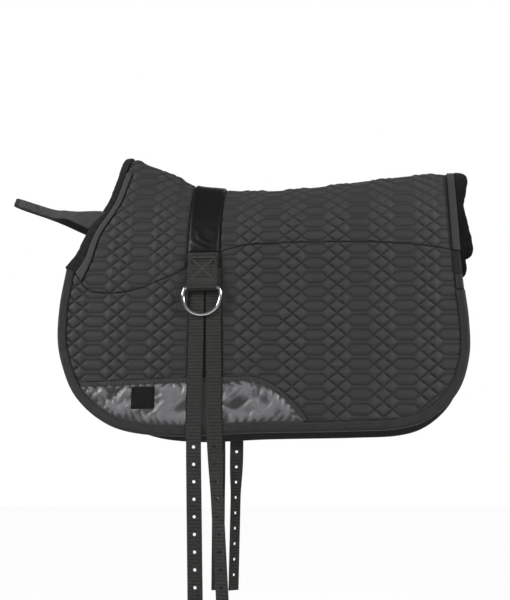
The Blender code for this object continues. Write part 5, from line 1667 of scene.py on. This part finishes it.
class PAD_OT_dee_rings(PadOperator):
    """Bend and weld the two wire dee rings"""
    bl_idname = "pad.dee_rings"
    bl_label = "Dee rings"

    def execute(self, context):
        for side in SIDES:
            self.make(side)
        return {"FINISHED"}

    def make(self, side):
        drop = RING_HEIGHT - RING_BOW_RADIUS
        straight = sqrt((RING_BOW_RADIUS - RING_CORNER) ** 2 - (drop - RING_CORNER) ** 2)
        shoulder = np.arcsin((drop - RING_CORNER) / (RING_BOW_RADIUS - RING_CORNER))
        bpy.ops.object.select_all(action="DESELECT")
        bpy.ops.mesh.primitive_circle_add(vertices=20, radius=RING_GAUGE / 2, location=(0, 0, 0),
                                          rotation=(0, pi / 2, 0))
        ring = bpy.context.object
        ring.name = side + "_ring_bent"
        bpy.ops.object.transform_apply(location=True, rotation=True, scale=True)
        bpy.ops.object.mode_set(mode="EDIT")
        bpy.ops.mesh.select_all(action="SELECT")
        self.run((straight, 0, 0))
        self.bend((straight, 0, -RING_CORNER), pi / 2 - shoulder, 5)
        self.bend((0, 0, -drop), pi + 2 * shoulder, 40)
        self.bend((-straight, 0, -RING_CORNER), pi / 2 - shoulder, 5)
        self.run((straight, 0, 0))
        bpy.ops.mesh.select_all(action="SELECT")
        bpy.ops.mesh.remove_doubles(threshold=0.00002)
        bpy.ops.mesh.normals_make_consistent(inside=False)
        bpy.ops.object.mode_set(mode="OBJECT")
        self.seat(ring, side)

    @staticmethod
    def run(move):
        """Draw the open end of the wire straight on."""
        bpy.ops.mesh.extrude_region_move(TRANSFORM_OT_translate={"value": move})

    @staticmethod
    def bend(middle, angle, steps):
        """Draw the open end of the wire round a bend."""
        bpy.ops.mesh.spin(steps=steps, angle=-angle, center=middle, axis=(0, 1, 0))

    @staticmethod
    def seat(ring, side):
        rest = BILLET_LEVEL + WEBBING_THICKNESS / 2 + CLEARANCE + RING_WIRE / 2
        bar = flap_place(np.array([STRAP_PLACE]), np.array([-RING_DROP]), RING_LEVEL)[0]
        foot = flap_place(np.array([STRAP_PLACE]), np.array([-RING_DROP - RING_HEIGHT]), rest)[0]
        down = Vector(foot - bar).normalized()
        turn = Matrix((Vector((1, 0, 0)), (-down).cross(Vector((1, 0, 0))), -down)).transposed()
        ring.data.transform(Matrix.Translation(bar) @ turn.to_4x4())
        if side == "far":
            ring.data.transform(Matrix.Diagonal((1, -1, 1, 1)))
            ring.data.flip_normals()
        finish_piece(ring, "plated_wire", side + "_ring", (side + "_dee_ring",), 60)


def billet_strip(index, drift, twist):
    """Centreline of a near billet from under the ring tab to its end, and where its holes are."""
    rise = -STITCH_DROP + BILLET_RISE_LENGTH
    z = np.concatenate([np.linspace(-BILLET_TOP_DROP, rise, 34)[:-1],
                        np.linspace(rise, -STITCH_DROP, 6)[:-1],
                        np.linspace(-STITCH_DROP, -FREE_DROP, 18)])
    climb = eased((rise - z) / BILLET_RISE_LENGTH)
    level = BILLET_LEVEL + (FREE_LEVEL - BILLET_LEVEL) * climb
    middles = flap_place(billet_x(index, z), z, level)
    leave = middles[-1]
    run = np.linspace(0, BILLET_END_DROP - FREE_DROP, 60)[1:]
    bow = np.minimum(run, BILLET_BOW)
    lean_out = FLAP_SLOPE * (bow - bow ** 2 / (2 * BILLET_BOW))
    share = run / (BILLET_END_DROP - FREE_DROP)
    tail = np.stack([leave[0] + drift * share, leave[1] - lean_out, leave[2] - run], -1)
    turn = np.radians(twist) * eased(run / TWIST_LENGTH)
    middles = np.concatenate([middles, tail])
    across = np.tile(-ALONG, (len(middles), 1))
    across[-len(run):] = np.stack([-np.cos(turn), np.sin(turn), 0 * turn], -1)
    strip = Strip(middles, across, BILLET_WIDTH, WEBBING_THICKNESS)
    drops = FIRST_HOLE_DROP + HOLE_PITCH * np.arange(HOLE_COUNT)
    return strip, strip.at_drop(drops)


class PAD_OT_billets(PadOperator):
    """Sew on the four billets and punch their holes"""
    bl_idname = "pad.billets"
    bl_label = "Billets"

    def execute(self, context):
        for side, which, index, drift, twist in BILLETS:
            strip, spots = billet_strip(index, drift, twist)
            holes = [circle((0.0, spot), HOLE_DIAMETER / 2) for spot in spots]
            points, faces, lie = strip.body(0.0042, holes)
            if side == "far":
                points, faces = flipped(points, faces)
            node = f"{side}_{which}_billet"
            piece = place_mesh(node + "_webbing", points, faces, lie)
            face_outwards(piece)
            finish_piece(piece, "ribbed_webbing", None, (node, node + "_top"))
            hinge = strip.place(np.array([0.0]), strip.at_drop([STITCH_DROP]))[0]
            y = hinge[1] if side == "near" else -hinge[1]
            hinge[2] + BILLET_BEND[0]
            hinge[2] + BILLET_BEND[1]
            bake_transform(piece)
            self.sew(side, which, strip)
        return {"FINISHED"}

    def sew(self, side, which, strip):
        level = WEBBING_THICKNESS / 2
        foot = float(strip.at_drop(STITCH_DROP - 0.003))
        edge = BILLET_WIDTH / 2 - BILLET_INSET
        spans = np.linspace(float(strip.at_drop(RING_DROP + 0.004)), foot, 12)
        rows = [(strip.place, [(h * edge, along) for along in spans], level) for h in (-1, 1)]
        rows += [(strip.place, [(-edge, along), (edge, along)], level)
                 for along in (foot, foot - 0.0035)]
        stitch_rows(f"{side}_{which}_billet_stitches", rows, side + "_flap",
                    finish="webbing_thread", mirror=side == "far")


def gathers(points, rim):
    """Heights of the folds that satin is sewn down with: tight ones that lean off the sewn
    edges, and broad ones that slant across its middle."""
    line = curve_through(np.concatenate([rim, rim[:1]]), 0.001)
    run = run_along(line)
    nearest, room = np.zeros(len(points), int), np.zeros(len(points))
    for start in range(0, len(points), 2000):
        part = points[start:start + 2000]
        away = np.hypot(*(part[:, None] - line[None]).transpose(2, 0, 1))
        nearest[start:start + 2000] = away.argmin(1)
        room[start:start + 2000] = away.min(1)
    x, z = points.T
    lean = 0.7 * room * np.sign(patchy(x, z, 0.05, 60) + 0.3)
    along = run[nearest] + lean + 0.006 * patchy(x, z, 0.024, 61)
    tight = 0.5 + 0.5 * np.sin(along * 2 * pi / 0.0150)
    tight = tight ** 0.8 * (0.65 + 0.35 * patchy(x, z, 0.02, 62)) * np.exp(-(room / 0.015) ** 2)
    slant, across = 0.80 * x + 0.60 * z, 0.80 * z - 0.60 * x
    broad = 1 - np.abs(patchy(slant, across * 0.4, 0.020, 63))
    other = 1 - np.abs(patchy(across, slant * 0.45, 0.024, 64))
    up, over = 0.55 * x - 0.835 * z, 0.835 * x + 0.55 * z
    drawn = 1 - np.abs(patchy(up, over * 0.34, 0.015, 65))
    broad = broad ** 1.8 * 0.6 + other ** 2.0 * 0.4 + drawn ** 3.0 * 0.55
    return 0.0032 * tight + 0.0036 * broad * eased((room - 0.002) / 0.012)


def crinkled(layout, rim, pinned):
    """Heights of a slack satin patch between its sewn edges: its gathers, settled by a cloth
    simulation."""
    mesh = bpy.data.meshes.new("slack_satin")
    start = gathers(layout.points, rim) * eased(layout.room / 0.003)
    slack = np.column_stack([layout.points, start])
    mesh.from_pydata(slack.tolist(), [], layout.faces.tolist())
    patch = bpy.data.objects.new("slack_satin", mesh)
    bpy.context.collection.objects.link(patch)
    group = patch.vertex_groups.new(name="sewn")
    group.add([int(k) for k in np.flatnonzero(pinned)], 1.0, "REPLACE")
    modifier = patch.modifiers.new("satin", "CLOTH")
    for setting, value in SATIN_CLOTH.items():
        setattr(modifier.settings, setting, value)
    modifier.settings.effector_weights.gravity = 0.0
    modifier.collision_settings.use_collision = False
    scene = bpy.context.scene
    for number in range(1, SATIN_FRAMES + 1):
        scene.frame_set(number)
    seen = patch.evaluated_get(bpy.context.evaluated_depsgraph_get())
    heights = np.array([v.co.z for v in seen.data.vertices])
    bpy.data.objects.remove(patch, do_unlink=True)
    scene.frame_set(1)
    return heights


def patch_outlines():
    """Flat outlines of the trim and of the patch, and the trim's centreline."""
    border = offset_line(flap_edge(0.003), BINDING_WIDTH + 2 * CLEARANCE)
    top = patch_edge()
    lines = {"top": top, "middle": offset_line(top, -TRIM_WIDTH / 2),
             "foot": offset_line(top, -TRIM_WIDTH), "patch": offset_line(top, -TRIM_WIDTH + 0.002)}
    inside = np.concatenate([border, [border[-1] + (0, 0.5), border[0] + (0, 0.5)]])
    kept = {name: line[is_inside(line, inside)] for name, line in lines.items()}
    trim = np.concatenate([kept["foot"], kept["top"][::-1]])
    front, rear = kept["patch"][0], kept["patch"][-1]
    below = (border[:, 1] < front[1] + 0.002) & (border[:, 0] < 0.2)
    rim = border[below & ((border[:, 0] < -0.2) | (border[:, 1] < -0.35))]
    rim = rim[(rim[:, 0] < rear[0] - 0.001) & (rim[:, 1] < front[1] - 0.001)]
    patch = np.concatenate([rim, kept["patch"][::-1]])
    return trim, patch, kept["middle"]


class PAD_OT_wear_patches(PadOperator):
    """Lay the satin wear patches, their trim and the bare label"""
    bl_idname = "pad.wear_patches"
    bl_label = "Wear patches"

    def execute(self, context):
        trim, patch, middle = patch_outlines()
        layout = Layout(patch, 0.0019, rims=(0.0008,))
        x, z = layout.points.T
        off_label = np.maximum(np.abs(x - LABEL_PLACE) - LABEL_WIDTH / 2,
                               np.abs(z + LABEL_DROP) - LABEL_HEIGHT / 2)
        off_billets = np.maximum(billet_x(0, z) - BILLET_WIDTH / 2 - x,
                                 x - billet_x(1, z) - BILLET_WIDTH / 2)
        pinned = (layout.room < 0.0010) | (off_label < 0)
        heights = crinkled(layout, patch, pinned)
        heights = np.clip(heights, -0.0001, cloth().satin_crinkle)
        free = eased(layout.room / 0.003) * eased(off_label / 0.002) * eased(off_billets / 0.003)
        under = CLEARANCE + 0 * x
        top = under + PATCH_THICKNESS + heights * free
        shape = shell(layout, flap_place(x, z, top), layout, flap_place(x, z, under))
        # Fold height for the satin's painted shade: low folds, and the cloth sewn flat by its edges,
        # the label and the billets, are painted dark
        third = np.concatenate([np.clip(heights * free / SATIN_SLACK, 0, 1), 0 * x])
        for piece in on_both_sides("wear_patch_laid", shape, "grey_satin",
                                   ("wear_patch",), third, angle=80):
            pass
        thick = CLEARANCE + TRIM_THICKNESS
        tape = laid_piece(trim, flap_place, thick * 0.7 + 0.0004, thick + 0.0006, middle)
        on_both_sides("patch_trim_laid", tape, "ribbed_tape", ("patch_trim",))
        rows = []
        for shift in (TAPE_INSET, TRIM_WIDTH - TAPE_INSET):
            line = offset_line(patch_edge(), -shift)
            line = line[(line[:, 0] > -0.286) & (line[:, 1] > -0.398)]
            rows.append((flap_place, line, thick + 0.0007))
        stitch_both_sides("trim_stitches", rows)
        self.add_label()
        return {"FINISHED"}

    @staticmethod
    def flat_area(layout):
        a, b, c = (layout.points[layout.faces[:, k]] for k in range(3))
        ab, ac = b - a, c - a
        return np.abs(ab[:, 0] * ac[:, 1] - ab[:, 1] * ac[:, 0]).sum() / 2

    def add_label(self):
        across, up = LABEL_WIDTH / 2, LABEL_HEIGHT / 2
        steps = np.linspace(-1, 1, 12)[:-1]
        outline = np.concatenate([
            np.stack([steps * across, 0 * steps - up], -1),
            np.stack([0 * steps + across, steps * up], -1),
            np.stack([-steps * across, 0 * steps + up], -1),
            np.stack([0 * steps - across, -steps * up], -1)]) + (LABEL_PLACE, -LABEL_DROP)
        low = 2 * CLEARANCE + PATCH_THICKNESS
        points, faces, lie = laid_piece(outline, flap_place, low, low + LABEL_THICKNESS,
                                        step=0.003, wavy=0.0002, seed=64)
        piece = place_mesh("near_label_laid", points, faces, lie)
        finish_piece(piece, "bare_label", "near_flap", ("near_label_patch",))
        a, b = across - LABEL_INSET, up - LABEL_INSET
        box = [(LABEL_PLACE + h * a, v * b - LABEL_DROP) for h, v in
               ((-1, -1), (1, -1), (1, 1), (-1, 1), (-1, -1))]
        stitch_rows("near_label_stitches", [(flap_place, box, low + LABEL_THICKNESS)],
                    "near_flap", pitch=0.0024, length=0.0018, radius=0.00022)


class PAD_OT_grab_handle(PadOperator):
    """Form the webbing grab handle, one strip from root to root"""
    bl_idname = "pad.grab_handle"
    bl_label = "Grab handle"

    def execute(self, context):
        hinge = np.array([HANDLE_ROOT_PLACE, 0.0, -HANDLE_ROOT_DROP])
        ahead = np.array([-HANDLE_REACH, 0.0, HANDLE_RISE])
        reach = np.linalg.norm(ahead)
        ahead /= reach
        up = np.array([HANDLE_RISE, 0.0, HANDLE_REACH]) / reach
        turns = np.linspace(0, 180, 121)
        folded = np.minimum(turns, 180 - turns)
        spread = smooth_line(HANDLE_SPREAD)(folded) * np.where(turns > 90, 1, -1)
        side = np.array([0.0, HANDLE_HALF_SPAN, 0.0])
        loop = (hinge + ahead * reach * np.sin(np.radians(turns))[:, None]
                + side * spread[:, None])
        root = self.root_line(hinge)
        middles = np.concatenate([root[:-1], loop, root[-2::-1] * (1, -1, 1)])
        strip = Strip(middles, up, HANDLE_WIDTH, HANDLE_GAUGE)
        root_run = float(np.linalg.norm(np.diff(root, axis=0), axis=1).sum())

        def half(along):
            into = np.minimum(along, strip.length - along)
            flare = eased(1 - into / (root_run + HANDLE_FLARE_LENGTH))
            return HANDLE_WIDTH / 2 + (HANDLE_FLARE - HANDLE_WIDTH) / 2 * flare
        points, faces, lie = strip.body(0.0036, half=half)
        lie = lie - (0, strip.length / 2)
        piece = place_mesh("handle_webbing_loop", points, faces, lie)
        face_outwards(piece)
        finish_piece(piece, "handle_webbing", None,
                     ("grab_handle", "near_handle_root", "far_handle_root"))
        bend_at_root(piece)
        edge = HANDLE_WIDTH / 2 - HANDLE_INSET
        row_start = root_run + HANDLE_ROW_ENDS
        span = np.linspace(row_start, strip.length - row_start, 60)
        rows = [(strip.place, [(h * edge, along) for along in span], HANDLE_GAUGE / 2)
                for h in (-1, 1)]
        stitch_rows("handle_stitches", rows, "grab_handle", finish="dark_thread")
        return {"FINISHED"}

    @staticmethod
    def root_line(hinge):
        """From inside the front roll to the root's neck, on the near side."""
        ways = np.linspace(0.3, ROLL_END_SHARE, 300)
        point, outward, off = edge_frames(front_edge, ways, -1)
        front = point + off * (ROLL_GAP + FRONT_ROLL_WIDTH) + outward * (
            ROLL_PROUD - ROLL_THICKNESS / 2)
        at = np.argmin(np.abs(front[:, 2] - hinge[2] + 0.004))
        neck = hinge - (0, HANDLE_HALF_SPAN, 0)
        inside = front[at] - off[at] * HANDLE_BURIED
        return np.stack([inside + (neck - inside) * s for s in np.linspace(0, 1, 14)])


class PAD_OT_seam(PadOperator):
    """Sew the line where the seat ends and the flaps begin"""
    bl_idname = "pad.seam"
    bl_label = "Seam stitches"

    def execute(self, context):
        x = np.linspace(SEAM_FRONT + SEAM_ROW_ENDS, SEAM_REAR - SEAM_ROW_ENDS, 120)
        row = (seat_place, np.stack([x, -seam_drop(x) + SEAM_ROW_RISE], -1), -0.0004)
        stitch_both_sides("seam_stitches", [row], "seat", finish="dark_thread", pitch=0.0036)
        return {"FINISHED"}


class PAD_OT_studio(PadOperator):
    """Set up the floor, the lamps and the camera"""
    bl_idname = "pad.studio"
    bl_label = "Studio"

    def execute(self, context):
        studio = context.scene.pad_studio
        self.add_floor()
        self.add_room(studio.sky)
        for name, place, power, size in LAMPS:
            self.add_lamp(name, place, getattr(studio, power), size)
        turn, tilt = studio.turn, studio.tilt
        data = bpy.data.cameras.new("camera")
        data.lens = studio.lens
        data.sensor_fit = "VERTICAL"
        data.sensor_height = SENSOR_HEIGHT
        camera = bpy.data.objects.new("camera", data)
        context.collection.objects.link(camera)
        camera.location = (CAMERA_SHIFT + studio.distance * sin(turn),
                           -studio.distance * cos(turn), studio.height)
        camera.rotation_euler = (pi / 2 + tilt, 0, turn)
        context.scene.camera = camera
        context.scene.view_settings.view_transform = "Standard"
        return {"FINISHED"}

    @staticmethod
    def add_floor():
        bpy.ops.object.select_all(action="DESELECT")
        bpy.ops.mesh.primitive_plane_add(size=14, location=(0, 3, CAD_BOX[0][2] - FLOOR_GAP))
        floor = bpy.context.object
        floor.name = "studio_floor"
        bpy.ops.object.transform_apply(location=True, rotation=True, scale=True)
        floor.data.materials.append(bpy.data.materials["pale_floor"])

    @staticmethod
    def add_lamp(name, place, power, size):
        data = bpy.data.lights.new(name, "AREA")
        data.energy = power
        data.shape = "DISK"
        data.size = size
        lamp = bpy.data.objects.new(name, data)
        bpy.context.collection.objects.link(lamp)
        lamp.location = place
        aim = Vector(LAMP_AIM) - Vector(place)
        lamp.rotation_euler = aim.to_track_quat("-Z", "Y").to_euler()

    @staticmethod
    def add_room(strength):
        """Even room light, which the camera sees as plain white, also through clear pieces."""
        bpy.context.scene.world = bpy.data.worlds.new("room")
        room = Nodes(bpy.context.scene.world)
        seen, through = (room.node("ShaderNodeLightPath", output=f"Is {ray} Ray")
                         for ray in ("Camera", "Transmission"))
        level = room.node("ShaderNodeMapRange", {"Value": seen.greater(through),
                                                 "To Min": strength, "To Max": 1.0})
        ground = room.tree.nodes["Background"]
        room.feed(ground.inputs["Color"], (1, 1, 1, 1))
        room.feed(ground.inputs["Strength"], level)


OPERATORS = (PAD_OT_finishes, PAD_OT_seat_cover, PAD_OT_seat_lining, PAD_OT_flap_covers,
             PAD_OT_flap_linings, PAD_OT_edge_bindings, PAD_OT_fleece_rolls, PAD_OT_tapes,
             PAD_OT_crossing_strap, PAD_OT_ring_tabs, PAD_OT_dee_rings, PAD_OT_billets,
             PAD_OT_wear_patches, PAD_OT_grab_handle, PAD_OT_seam, PAD_OT_studio)
SETTINGS = (("pad_cloth", PadCloth), ("pad_colours", PadColours), ("pad_studio", PadStudio))


class PAD_PT_panel(bpy.types.Panel):
    """Lists the pad's settings and its operators"""
    bl_label = "Bareback pad"
    bl_space_type = "VIEW_3D"
    bl_region_type = "UI"
    bl_category = "Bareback pad"

    def draw(self, context):
        for name, group in SETTINGS:
            box = self.layout.box()
            for setting in group.__annotations__:
                box.prop(getattr(context.scene, name), setting)
        for operator in OPERATORS:
            self.layout.operator(operator.bl_idname)


def register():
    for name, group in SETTINGS:
        bpy.utils.register_class(group)
        setattr(bpy.types.Scene, name, PointerProperty(type=group))
    for made in OPERATORS + (PAD_PT_panel,):
        bpy.utils.register_class(made)


def unregister():
    for made in (PAD_PT_panel,) + OPERATORS[::-1]:
        bpy.utils.unregister_class(made)
    for name, group in SETTINGS:
        delattr(bpy.types.Scene, name)
        bpy.utils.unregister_class(group)


def main():
    register()
    for operator in OPERATORS:
        group, name = operator.bl_idname.split(".")
        getattr(getattr(bpy.ops, group), name)()


if __name__ == "__main__":
    main()
